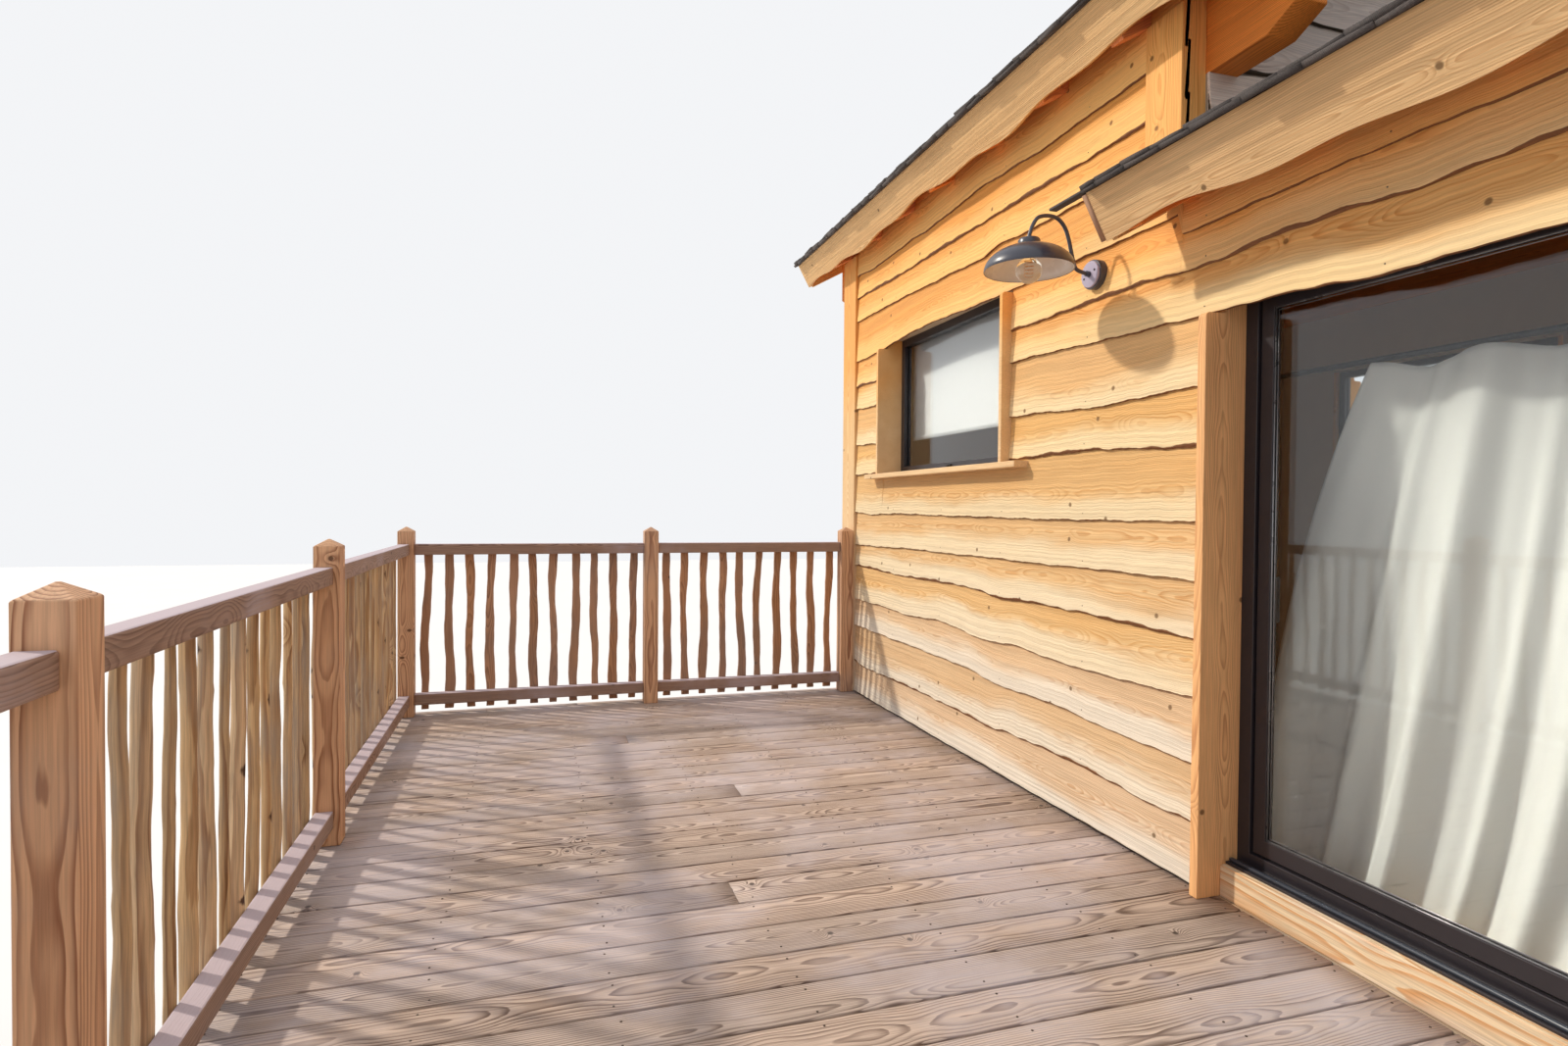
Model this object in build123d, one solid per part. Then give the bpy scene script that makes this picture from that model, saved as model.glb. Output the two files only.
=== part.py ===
# Timber cabin on stilts with a railed deck, two gable roofs at different heights and a
# sliding glass door. Millimetres, +Z up.
# While it is modelled, x = 0 is the outer face of the wall that faces the deck, y = 0 is the
# step between the low and the tall volume, and z = 0 is the ground. At the end everything is
# moved so that the origin lies on the ground under the middle of the whole cabin.
import math
import os

from build123d import *

# Levels
deck_height = 2600.0
board_thick = 28.0
joist_high = 195.0
bearer_high = 240.0
floor_finish = 50.0

# Footprint of the cabin
cabin_depth = 4196.0
tall_length = 3410.0
low_length = 4880.0
wall_thick = 200.0
skin_thick = 70.0

# Deck
deck_width = 3172.0
deck_inset_far = 60.0
deck_inset_near = 70.0
rim_thick = 27.0
rim_past = 20.0
joint_gap = 2.0
joist_wide = 75.0
joist_count = 7

# Stilts
stilt_side = 200.0
stilt_rows = 5
stilt_lines = 4
shoe_plate = 12.0
shoe_side = 260.0
shoe_cheek_high = 150.0
shoe_cheek_thick = 8.0
bearer_wide = 120.0
brace_wide = 80.0
brace_deep = 100.0
brace_reach = 620.0

# Railing
rail_post = 95.0
rail_post_top = 1187.0
post_cap_high = 28.0
post_cap_tip = 8.0
rail_wide = 68.0
rail_high = 70.0
rail_top = 1105.0
low_rail_bottom = 70.0
rail_setback = 23.0
rail_post_inset = 40.0
rail_post_far = 102.0
left_bays = (1960.0, 1960.0, 1960.0, 2080.0)
far_bay_split = 1555.0
entry_gap = 1000.0
branch_pitch = 117.0
branch_across = 40.0
branch_range = 0.28
branch_taper = 0.18
branch_knot = 0.05
branch_sway = 14.0
branch_lean = 15.0
branch_sides = 8
branch_rings = 6
plank_pitch = 124.0
plank_wide = 55.0
plank_thick = 22.0
plank_sway = 9.0
baluster_bottom = 28.0
baluster_top = 1075.0

# Roofs: the eave point is the top outer edge of the fascia, above the deck
pitch = 29.0
tall_eave_out = 262.0
tall_eave_up = 3310.0
low_eave_out = 377.0
low_eave_up = 2510.0
verge_out = 500.0
tall_near_out = 410.0
low_far_lap = 90.0
rafter_wide = 70.0
rafter_deep = 170.0
rafter_pitch = 520.0
rafter_end_gap = 40.0
sarking_thick = 20.0
shake_thick = 40.0
shake_lap = 45.0
ridge_gap = 12.0
ridge_beam_wide = 60.0
ridge_beam_high = 240.0
ridge_cap_wide = 160.0
ridge_cap_thick = 22.0
fascia_thick = 27.0
fascia_deep = 190.0
fascia_wave = 28.0
fascia_step = 150.0
barge_thick = 27.0
plate_high = 340.0
plate_seat = 30.0
plate_nose = 380.0
plate_nose_rise = 60.0
wall_top_drop = 305.0

# Posts at the corners and at the step
post_proud = 40.0
step_post = 190.0
step_post_up = 110.0

# Window that faces the deck, and the like ones on the other sides
window_from = 1170.0
window_wide = 1530.0
window_sill = 1590.0
window_high = 910.0
window_recess = 100.0
window_frame = 50.0
window_frame_deep = 70.0
glass_thick = 24.0
trim_thick = 27.0
trim_proud = 75.0
sill_board_thick = 30.0
sill_board_proud = 95.0
sill_board_past = 180.0
trim_short = 60.0
low_window_high = 640.0
blind_thick = 6.0
blind_drop = 680.0
blind_past = 20.0

# Sliding door
door_from = 187.0
door_wide = 2400.0
door_sill = 112.0
door_head = 2145.0
door_post = 36.0
door_post_proud = 90.0
door_post_top = 2040.0
sill_beam_back = 8.0
threshold_back = 32.0
threshold_high = 10.0
door_recess = 83.0
door_frame_deep = 110.0
door_frame_wide = 52.0
leaf_thick = 42.0
leaf_stile = 50.0
leaf_low_rail = 62.0
leaf_overlap = 60.0
leaf_clear = 6.0
runner_clear = 0.3
runner_long = 60.0
handle_long = 160.0
handle_wide = 24.0
handle_out = 30.0
handle_up = 1050.0

# Curtain behind the door
curtain_off = 100.0
curtain_thick = 130.0
curtain_top = 1845.0
curtain_foot = 55.0
curtain_top_from = 430.0
curtain_foot_from = 60.0
curtain_to = 2450.0
rod_across = 20.0
rod_bracket = 30.0
rod_past = 60.0

# Wall lamp
lamp_along = 485.0
lamp_up = 2348.0
lamp_base_across = 124.0
lamp_base_thick = 65.0
lamp_tube = 17.0
lamp_out = 355.0
lamp_bend_out = 134.0
lamp_bend_rise = 14.0
lamp_bend_radius = 30.0
lamp_lean = 42.0
lamp_arch_radius = 88.0
lamp_arch_top = 2572.0
lamp_shade_across = 364.0
lamp_shade_high = 106.0
lamp_shade_wall = 2.0
dome_steps = 6
lamp_rim_up = 2338.0
lamp_neck_across = 92.0
lamp_neck_high = 28.0
bulb_across = 108.0
bulb_cap_across = 27.0
bulb_cap_clear = 0.2

# Places worked out from the sizes above
slope = math.radians(pitch)
rise = math.tan(slope)
ridge_x = cabin_depth / 2.0
y_far = tall_length
y_near = -low_length
deck_top = deck_height
deck_low = deck_top - board_thick
bearer_top = deck_low - joist_high
bearer_low = bearer_top - bearer_high
deck_far = y_far - deck_inset_far
deck_near = y_near + deck_inset_near
deck_left = -deck_width
nodes = {}


def block(x0, x1, y0, y1, z0, z1):
    return Pos(x0, y0, z0) * Box(x1 - x0, y1 - y0, z1 - z0, align=(Align.MIN, Align.MIN, Align.MIN))


def along_y(points, y0, y1):
    # a prism with its outline in x and z, running from y0 to y1
    outline = Polyline([(x, y0, z) for x, z in points], close=True)
    return extrude(make_face(outline), amount=y1 - y0, dir=(0, 1, 0))


def along_x(points, x0, x1):
    # a prism with its outline in y and z, running from x0 to x1
    outline = Polyline([(x0, y, z) for y, z in points], close=True)
    return extrude(make_face(outline), amount=x1 - x0, dir=(1, 0, 0))


def to_back(shape):
    # the same piece on the other side of the ridge
    return mirror(shape, about=Plane.YZ.offset(ridge_x))


def put(name, *shapes):
    solids = []
    for shape in shapes:
        solids.extend(shape.solids())
    nodes[name] = solids


class Roof:
    # one gable roof: its eave point, its length and how it is measured along and off the slope
    def __init__(self, out, up, y0, y1):
        self.eave_x = -out
        self.eave_z = deck_top + up
        self.y0 = y0
        self.y1 = y1

    def line(self, x, off=0.0):
        # height of the roof line at x, moved off square to the slope
        return self.eave_z + (x - self.eave_x) * rise + off / math.cos(slope)

    def point(self, s, n):
        x = self.eave_x + s * math.cos(slope) - n * math.sin(slope)
        return x, self.eave_z + s * math.sin(slope) + n * math.cos(slope)

    def bar(self, s0, n0, n1, y0, y1, x_top):
        # a bar lying on the slope, cut upright at x_top
        foot = [self.point(s0, n0), self.point(s0, n1)]
        head = [(x_top, self.line(x_top, n1)), (x_top, self.line(x_top, n0))]
        return along_y(foot + head, y0, y1)

    def pair(self, s0, n0, n1, y0, y1, gap):
        one = self.bar(s0, n0, n1, y0, y1, ridge_x - gap / 2.0)
        return [one, to_back(one)]


tall_roof = Roof(tall_eave_out, tall_eave_up, -tall_near_out, y_far + verge_out)
low_roof = Roof(low_eave_out, low_eave_up, y_near - verge_out, 0.0)
rafter_low = -(sarking_thick + rafter_deep)
tall_wall_top = tall_roof.line(0.0) - wall_top_drop
low_wall_top = low_roof.line(0.0) - wall_top_drop


def plate_box(roof, y0, y1):
    top = roof.line(skin_thick, rafter_low) + plate_seat
    return skin_thick, wall_thick, y0, y1, top - plate_high, top


def wall_plate(roof, y0, y1, nose_near, nose_far):
    # the long timber on the wall that carries the rafters, with an upswept nose past each gable
    x0, x1, a, b, low, top = plate_box(roof, y0, y1)
    bend = plate_nose_rise
    points = [(a, low + bend) if nose_near else (a, low)]
    if nose_near:
        points.append((a + 2.0 * bend, low))
    if nose_far:
        points.append((b - 2.0 * bend, low))
        points.append((b, low + bend))
    else:
        points.append((b, low))
    points += [(b, top), (a, top)]
    return along_x(points, x0, x1)


tall_plate = wall_plate(tall_roof, -plate_nose, y_far + plate_nose, True, True)
low_plate = wall_plate(low_roof, y_near - plate_nose, 0.0, True, False)
plate_low_tall = plate_box(tall_roof, 0.0, 0.0)[4]
plate_low_low = plate_box(low_roof, 0.0, 0.0)[4]


def rafter_places():
    # from the near verge of the tall roof, and from the step down the low roof
    first = tall_roof.y0 + rafter_wide + rafter_end_gap
    count = int((tall_roof.y1 - rafter_wide - first) / rafter_pitch) + 1
    tall = [first + rafter_pitch * k for k in range(count)]
    first = -rafter_wide / 2.0
    count = int((first - low_roof.y0 - rafter_wide) / rafter_pitch) + 1
    low = [first - rafter_pitch * k for k in range(count)]
    return tall, low


def rafters():
    tall, low = rafter_places()
    pieces = []
    for roof, places, plate in ((tall_roof, tall, tall_plate), (low_roof, low, low_plate)):
        for y in places:
            one = roof.bar(fascia_thick, rafter_low, -sarking_thick, y - rafter_wide / 2.0,
                           y + rafter_wide / 2.0, ridge_x - ridge_beam_wide / 2.0) - plate
            pieces += [one, to_back(one)]
    put("rafters", *pieces)


def ridge_beam(roof):
    top = roof.line(ridge_x - ridge_beam_wide / 2.0, -sarking_thick)
    return block(ridge_x - ridge_beam_wide / 2.0, ridge_x + ridge_beam_wide / 2.0,
                 roof.y0 + barge_thick, roof.y1 - (barge_thick if roof is tall_roof else 0.0),
                 top - ridge_beam_high, top)


def fascia(roof, y0, y1, phase):
    # a board square to the slope with a wavy natural lower edge
    x, z = roof.point(0.0, 0.0)
    plane = Plane(origin=(x, 0, z), x_dir=(0, 1, 0), z_dir=(math.cos(slope), 0, math.sin(slope)))
    count = int((y1 - y0) / fascia_step)
    wave = []
    for k in range(count + 1):
        y = y0 + (y1 - y0) * k / count
        dip = math.sin(y / 260.0 + phase) + 0.7 * math.sin(y / 97.0 + 2.0 * phase)
        wave.append((y, -fascia_deep + fascia_wave * 0.5 * dip))
    edge = Spline([(y, n) for y, n in wave])
    sides = Polyline([wave[-1], (y1, 0.0), (y0, 0.0), wave[0]])
    return extrude(plane * make_face(edge + sides), amount=fascia_thick)


def roofs():
    sarking = []
    for name, roof in (("tall", tall_roof), ("low", low_roof)):
        inner = (roof.y0 + barge_thick, roof.y1 - (barge_thick if roof is tall_roof else 0.0))
        sarking += roof.pair(fascia_thick, -sarking_thick, 0.0, inner[0], inner[1], ridge_gap)
        shakes = roof.pair(-shake_lap, 0.0, shake_thick, roof.y0, roof.y1, ridge_gap)
        if roof is low_roof:
            # the low eave runs a little past the step, outside the wall of the tall volume
            lap = roof.bar(-shake_lap, 0.0, shake_thick, -1.0, low_far_lap, -post_proud)
            shakes = [shakes[0] + lap, shakes[1] + to_back(lap)]
        put("shakes_" + name, *shakes)
    put("sarking", *sarking)
    caps = []
    for roof in (tall_roof, low_roof):
        n0, n1 = shake_thick, shake_thick + ridge_cap_thick
        x_out = ridge_x - ridge_cap_wide * math.cos(slope)
        points = [(x_out, roof.line(x_out, n0)), (x_out, roof.line(x_out, n1)),
                  (ridge_x, roof.line(ridge_x, n1)), (2 * ridge_x - x_out, roof.line(x_out, n1)),
                  (2 * ridge_x - x_out, roof.line(x_out, n0)), (ridge_x, roof.line(ridge_x, n0))]
        caps.append(along_y(points, roof.y0, roof.y1))
    put("ridge_caps", *caps)
    tall = fascia(tall_roof, tall_roof.y0, tall_roof.y1, 0.4)
    low = fascia(low_roof, low_roof.y0, low_far_lap, 2.1)
    put("fascias", tall, to_back(tall), low, to_back(low))
    barge_low = rafter_low - 10.0
    barges = []
    for roof, y in ((tall_roof, tall_roof.y0), (tall_roof, tall_roof.y1 - barge_thick),
                    (low_roof, low_roof.y0)):
        barges += roof.pair(fascia_thick, barge_low, 0.0, y, y + barge_thick, ridge_gap)
    lap = low_roof.bar(fascia_thick, barge_low, 0.0, low_far_lap - barge_thick, low_far_lap,
                       -post_proud)
    put("barge_boards", *barges, lap, to_back(lap))
    put("plates_and_ridges", tall_plate, to_back(tall_plate), low_plate, to_back(low_plate),
        ridge_beam(tall_roof), ridge_beam(low_roof))


def posts():
    # proud timber posts at the four corners and at both ends of the step, cut to the slope
    x0, x1 = -post_proud, skin_thick
    wide = wall_thick + post_proud

    def post(roof, y0, y1, foot):
        points = [(x0, foot), (x0, roof.line(x0, rafter_low)), (x1, roof.line(x1, rafter_low)),
                  (x1, foot)]
        return along_y(points, y0, y1)

    far = post(tall_roof, y_far + post_proud - wide, y_far + post_proud, deck_top)
    near = post(low_roof, y_near - post_proud, y_near - post_proud + wide, deck_top)
    step = post(tall_roof, 0.0, step_post, low_wall_top + step_post_up)
    return [far, near, step, to_back(far), to_back(near), to_back(step)]


def window_hole(u0, high):
    # the hole in the wall holds the frame, the side boards and the sill board
    z0 = deck_top + window_sill
    return u0 - trim_thick, u0 + window_wide + trim_thick, z0 - sill_board_thick, z0 + high


def side_wall(y0, y1, z0, plate_low, top):
    lower = block(0.0, wall_thick, y0, y1, z0, plate_low)
    return lower + block(0.0, skin_thick, y0, y1, plate_low, top)


def gable_wall(roof, y0, y1):
    z_top = roof.line(0.0, rafter_low)
    peak = roof.line(ridge_x, rafter_low)
    points = [(0.0, deck_top), (0.0, z_top), (ridge_x, peak), (cabin_depth, z_top),
              (cabin_depth, deck_top)]
    return along_y(points, y0, y1)


low_window_from = -low_length / 2.0 - window_wide / 2.0
end_window_from = ridge_x - window_wide / 2.0


def walls():
    corner = posts()
    put("corner_posts", *corner)
    plates = [tall_plate, to_back(tall_plate), low_plate, to_back(low_plate)]
    beams = [ridge_beam(tall_roof), ridge_beam(low_roof)]
    y0, y1, z0, z1 = window_hole(window_from, window_high)
    inner_far = y_far - wall_thick
    inner_near = y_near + wall_thick
    door_far = -door_from + door_post
    door_near = -door_from - door_wide - door_post

    deck_tall = side_wall(0.0, inner_far, deck_top, plate_low_tall, tall_wall_top)
    deck_tall -= block(-1.0, wall_thick + 1.0, y0, y1, z0, z1)
    deck_tall += block(0.0, wall_thick, door_far, 0.0, deck_top, plate_low_low)
    back_tall = to_back(side_wall(0.0, inner_far, deck_top, plate_low_tall, tall_wall_top))
    back_tall -= block(cabin_depth - wall_thick - 1.0, cabin_depth + 1.0, y0, y1, z0, z1)
    deck_low_wall = side_wall(inner_near, door_near, deck_top, plate_low_low, low_wall_top)
    over_door = block(0.0, wall_thick, door_near, door_far, deck_top + door_head, plate_low_low)
    over_door += block(0.0, skin_thick, door_near, 0.0, plate_low_low, low_wall_top)
    back_low = to_back(side_wall(inner_near, 0.0, deck_top, plate_low_low, low_wall_top))
    a, b, z0, top = window_hole(low_window_from, low_window_high)
    back_low -= block(cabin_depth - wall_thick - 1.0, cabin_depth + 1.0, a, b, z0, top)
    end_far = gable_wall(tall_roof, inner_far, y_far)
    end_near = gable_wall(low_roof, y_near, inner_near)
    a, b, z0, z1 = window_hole(end_window_from, window_high)
    end_far -= block(a, b, inner_far - 1.0, y_far + 1.0, z0, z1)
    end_near -= block(a, b, y_near - 1.0, inner_near + 1.0, z0, z1)

    x0, x1 = wall_thick, cabin_depth - wall_thick
    step = along_y([(x0, low_roof.line(x0, rafter_low)), (x0, tall_roof.line(x0, rafter_low)),
                    (ridge_x, tall_roof.line(ridge_x, rafter_low)),
                    (x1, tall_roof.line(x0, rafter_low)), (x1, low_roof.line(x0, rafter_low)),
                    (ridge_x, low_roof.line(ridge_x, rafter_low))], 0.0, wall_thick)

    pieces = {"wall_deck_tall": deck_tall, "wall_deck_low": deck_low_wall,
              "wall_over_door": over_door, "wall_back_tall": back_tall,
              "wall_back_low": back_low, "gable_far": end_far, "gable_near": end_near,
              "gable_step": step}
    for name, wall in pieces.items():
        for other in corner + plates + beams:
            wall -= other
        put(name, wall)


def window_set(x0, x1, y0, y1, z0, z1, face, into, along_wall_y):
    # frame, pane and surround of one window; face is the wall's outer plane, into points inwards
    def slab(off0, off1, u0, u1, w0, w1):
        d0, d1 = sorted((face + into * off0, face + into * off1))
        if along_wall_y:
            return block(d0, d1, u0, u1, w0, w1)
        return block(u0, u1, d0, d1, w0, w1)

    u0, u1 = (y0, y1) if along_wall_y else (x0, x1)
    f, t = window_frame, trim_thick
    a, b = window_recess, window_recess + window_frame_deep
    ring = slab(a, b, u0, u1, z0, z1)
    ring -= slab(a - 1.0, b + 1.0, u0 + f, u1 - f, z0 + f, z1 - f)
    m = (a + b - glass_thick) / 2.0
    pane = slab(m, m + glass_thick, u0 + f, u1 - f, z0 + f, z1 - f)
    around = slab(-sill_board_proud, 0.0, u0 - sill_board_past, u1 + sill_board_past,
                  z0 - sill_board_thick, z0)
    around += slab(0.0, wall_thick, u0 - t, u1 + t, z0 - sill_board_thick, z0)
    for v in (u0 - t, u1):
        around += slab(-trim_proud, 0.0, v, v + t, z0, z1 - trim_short)
        around += slab(0.0, wall_thick, v, v + t, z0, z1)
    return ring, pane, around


def windows():
    sets = []
    for y0, top, back in ((window_from, window_high, False), (window_from, window_high, True),
                          (low_window_from, low_window_high, True)):
        z0 = deck_top + window_sill
        pieces = window_set(0.0, 0.0, y0, y0 + window_wide, z0, z0 + top, 0.0, 1.0, True)
        sets.append([to_back(piece) for piece in pieces] if back else pieces)
    for face, into in ((y_far, -1.0), (y_near, 1.0)):
        x0 = end_window_from
        z0 = deck_top + window_sill
        sets.append(window_set(x0, x0 + window_wide, 0.0, 0.0, z0, z0 + window_high, face, into,
                               False))
    put("window_frames", *[one[0] for one in sets])
    put("window_glass", *[one[1] for one in sets])
    put("window_surrounds", *[one[2] for one in sets])
    top = deck_top + window_sill + window_high
    put("window_blind", block(wall_thick, wall_thick + blind_thick, window_from - blind_past,
                              window_from + window_wide + blind_past, top - blind_drop, top))


def door():
    y1 = -door_from
    y0 = y1 - door_wide
    z0 = deck_top + door_sill
    z1 = deck_top + door_head
    f = door_frame_wide
    a, b = door_recess, door_recess + door_frame_deep
    ring = block(a, b, y0, y1, z0, z1)
    ring -= block(a - 1, b + 1, y0 + f, y1 - f, z0 + f, z1 - f)
    ring += block(threshold_back, a, y0, y1, z0, z0 + threshold_high)
    put("door_frame", ring)
    put("door_sill_beam", block(sill_beam_back, wall_thick, y0, y1, deck_top, z0))
    boards = []
    for y in (y1, y0 - door_post):
        board = block(-door_post_proud, 0.0, y, y + door_post, deck_top, deck_top + door_post_top)
        boards.append(board + block(0.0, wall_thick, y, y + door_post, deck_top, z1))
    put("door_posts", *boards)

    inner_y0, inner_y1 = y0 + f, y1 - f
    leaf_wide = (inner_y1 - inner_y0 + leaf_overlap) / 2.0
    low, high = z0 + f, z1 - f
    slack = (door_frame_deep - 2.0 * leaf_thick) / 3.0
    outer_x = a + slack
    inner_x = a + 2.0 * slack + leaf_thick
    g, r = leaf_stile, leaf_low_rail

    fixed = block(inner_x, inner_x + leaf_thick, inner_y0, inner_y0 + leaf_wide, low, high)
    fixed -= block(inner_x - 1, inner_x + leaf_thick + 1, inner_y0 + g,
                   inner_y0 + leaf_wide - g, low + r, high - g)
    put("fixed_sash", fixed)
    m = inner_x + (leaf_thick - glass_thick) / 2.0
    put("fixed_glass", block(m, m + glass_thick, inner_y0 + g, inner_y0 + leaf_wide - g,
                             low + r, high - g))

    c = leaf_clear
    s0, s1 = inner_y1 - leaf_wide, inner_y1 - c
    slide = block(outer_x, outer_x + leaf_thick, s0, s1, low + c, high - c)
    slide -= block(outer_x - 1, outer_x + leaf_thick + 1, s0 + g, s1 - g, low + r, high - g)
    for y in (s0 + 2.0 * runner_long, s1 - 3.0 * runner_long):
        slide += block(outer_x + leaf_thick / 4.0, outer_x + leaf_thick * 3.0 / 4.0, y,
                       y + runner_long, low + runner_clear, low + c + 1.0)
    put("sliding_sash", slide)
    m = outer_x + (leaf_thick - glass_thick) / 2.0
    put("sliding_glass", block(m, m + glass_thick, s0 + g, s1 - g, low + r, high - g))
    x0 = outer_x + leaf_thick
    y = s1 - g / 2.0
    z = deck_top + handle_up
    grip = block(x0, x0 + handle_out, y - handle_wide / 2.0, y + handle_wide / 2.0,
                 z - handle_long / 2.0, z + handle_long / 2.0)
    put("sliding_handle", grip)


def curtain():
    x0 = wall_thick + curtain_off
    z0 = deck_top + curtain_foot
    z1 = deck_top + curtain_top
    points = [(-curtain_foot_from, z0), (-curtain_top_from, z1), (-curtain_to, z1),
              (-curtain_to, z0)]
    put("curtain", along_x(points, x0, x0 + curtain_thick))
    x = x0 + curtain_thick / 2.0
    z = z1 + rod_across / 2.0
    y_a = -door_from - door_wide - door_post - rod_past
    y_b = -(door_from - door_post) / 2.0
    rod = Pos(x, (y_a + y_b) / 2.0, z) * Rot(90, 0, 0) * Cylinder(rod_across / 2.0, y_b - y_a)
    for y in (y_a, y_b):
        rod += block(wall_thick, x, y - rod_bracket / 2.0, y + rod_bracket / 2.0,
                     z - rod_bracket / 4.0, z + rod_bracket / 4.0)
    put("curtain_rod", rod)


def dome_line(radius, high, turn):
    # a smooth line on a quarter of an ellipse, from the rim up to an angle
    steps = [turn * k / dome_steps for k in range(dome_steps + 1)]
    return Spline([(radius * math.cos(a), high * math.sin(a)) for a in steps])


def lamp():
    # base disc, swan neck, domed shade with its cap, and a globe bulb
    z = deck_top + lamp_up
    base = Rot(0, -90, 0) * Cylinder(lamp_base_across / 2.0, lamp_base_thick,
                                     align=(Align.CENTER, Align.CENTER, Align.MIN))
    base = Pos(0, lamp_along, z) * base
    rim = deck_top + lamp_rim_up
    top = deck_top + lamp_arch_top
    r = lamp_shade_across / 2.0
    t = lamp_shade_wall
    h = lamp_shade_high
    n = lamp_neck_across / 2.0
    turn = math.acos(n / r)
    neck_low = h * math.sin(turn)
    neck_top = neck_low + lamp_neck_high
    points = [(-lamp_base_thick + t, lamp_along, z),
              (-lamp_bend_out, lamp_along, z + lamp_bend_rise),
              (-lamp_bend_out - lamp_lean, lamp_along, top),
              (-lamp_out, lamp_along, top), (-lamp_out, lamp_along, rim + neck_top)]
    radii = [lamp_bend_radius, lamp_arch_radius, lamp_arch_radius]
    path = FilletPolyline(*points, radius=radii)
    start = Plane(origin=path @ 0, z_dir=path % 0)
    put("lamp_bracket", base + sweep(start * Circle(lamp_tube / 2.0), path=path))

    outside = dome_line(r, h, turn)
    inside = dome_line(r - t, h - t, math.pi / 2.0)
    cap = Polyline([outside @ 1, (n, neck_top), (0, neck_top), inside @ 1])
    section = make_face(Plane.XZ * (outside + cap + inside + Line((r - t, 0), (r, 0))))
    put("lamp_shade", Pos(-lamp_out, lamp_along, rim) * revolve(section, axis=Axis.Z))

    ball = Pos(-lamp_out, lamp_along, rim) * Sphere(bulb_across / 2.0)
    c = bulb_cap_across / 2.0
    seat = (h - t) * math.sqrt(1.0 - (c / (r - t)) ** 2) - bulb_cap_clear
    holder = Pos(-lamp_out, lamp_along, rim + seat) * Cylinder(
        c, seat - bulb_across / 2.0 + c, align=(Align.CENTER, Align.CENTER, Align.MAX))
    put("lamp_bulb", ball + holder)


def structure():
    shoes, stilts, bearers, braces = [], [], [], []
    half = stilt_side / 2.0
    x_first = deck_left + rim_thick + half
    x_last = cabin_depth - half
    xs = [x_first, half, ridge_x, x_last][:stilt_lines]
    y_first = deck_near + rim_thick + half
    y_last = deck_far - rim_thick - half
    ys = [y_first + (y_last - y_first) * k / (stilt_rows - 1) for k in range(stilt_rows)]
    for x in xs:
        for y in ys:
            stilts.append(block(x - half, x + half, y - half, y + half, shoe_plate, bearer_low))
            s = shoe_side / 2.0
            shoe = block(x - s, x + s, y - s, y + s, 0.0, shoe_plate)
            for side in (-1.0, 1.0):
                c0, c1 = sorted((side * half, side * (half + shoe_cheek_thick)))
                shoe += block(x + c0, x + c1, y - half, y + half, shoe_plate, shoe_cheek_high)
            shoes.append(shoe)
    for y in ys:
        bearers.append(block(x_first - half, cabin_depth, y - bearer_wide / 2.0,
                             y + bearer_wide / 2.0, bearer_low, bearer_top))
        for x, way in ((xs[0], 1.0), (xs[-1], -1.0)):
            face = x + way * half
            d = brace_deep * math.sqrt(2.0)
            points = [(face, bearer_low - brace_reach), (face + way * brace_reach, bearer_low),
                      (face + way * (brace_reach - d), bearer_low),
                      (face, bearer_low - brace_reach + d)]
            braces.append(along_y(points, y - brace_wide / 2.0, y + brace_wide / 2.0))
    put("post_shoes", *shoes)
    put("stilts", *stilts)
    put("bearers", *bearers)
    put("knee_braces", *braces)

    joists = []
    x0 = deck_left + rim_thick
    for k in range(joist_count):
        x = x0 + (-joist_wide - x0) * k / (joist_count - 1)
        joists.append(block(x, x + joist_wide, deck_near + rim_thick, deck_far - rim_thick,
                            bearer_top, deck_low))
    put("deck_joists", *joists)
    put("deck_boards", block(deck_left, 0.0, deck_near, deck_far, deck_low, deck_top))
    low = bearer_top - rim_past
    put("rim_boards",
        block(deck_left, deck_left + rim_thick, deck_near + rim_thick + joint_gap,
              deck_far - rim_thick - joint_gap, low, deck_low),
        block(deck_left, 0.0, deck_near, deck_near + rim_thick, low, deck_low),
        block(deck_left, 0.0, deck_far - rim_thick, deck_far, low, deck_low))
    put("floor_frame", block(0.0, cabin_depth, y_near, y_far, bearer_top, deck_top))
    put("floor_boards", block(wall_thick, cabin_depth - wall_thick, y_near + wall_thick,
                              y_far - wall_thick, deck_top, deck_top + floor_finish))


def rail_post_at(x, y):
    half = rail_post / 2.0
    shaft = block(x - half, x + half, y - half, y + half, deck_top, deck_top + rail_post_top)
    lean = math.degrees(math.atan((rail_post - post_cap_tip) / 2.0 / post_cap_high))
    cap = extrude(Rectangle(rail_post, rail_post), amount=post_cap_high, taper=lean)
    return shaft + Pos(x, y, deck_top + rail_post_top) * cap


def branch(x, y, seed):
    # a peeled branch against the rails at x: it leans, wanders, has knots and thins upwards
    rings = []
    girth = branch_across / 2.0 * (1.0 + branch_range * math.sin(seed * 2.3))
    lean = branch_lean * math.sin(seed * 5.1)
    for k in range(branch_rings):
        part = k / (branch_rings - 1)
        belly = math.sin(math.pi * part)
        bend = belly * (math.sin(3.1 * part + seed * 1.7) + 0.35 * math.sin(7.3 * part + seed * 0.9))
        swell = branch_knot * math.sin(9.0 * part + seed * 3.7)
        wide = girth * (1.0 - branch_taper * part + swell)
        z = deck_top + baluster_bottom + (baluster_top - baluster_bottom) * part
        spot = Pos(x - wide, y + lean * (part - 0.5) + branch_sway * bend, z)
        rings.append(spot * RegularPolygon(wide, branch_sides, major_radius=False,
                                           rotation=180.0 / branch_sides))
    return loft(rings, ruled=True)


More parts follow.
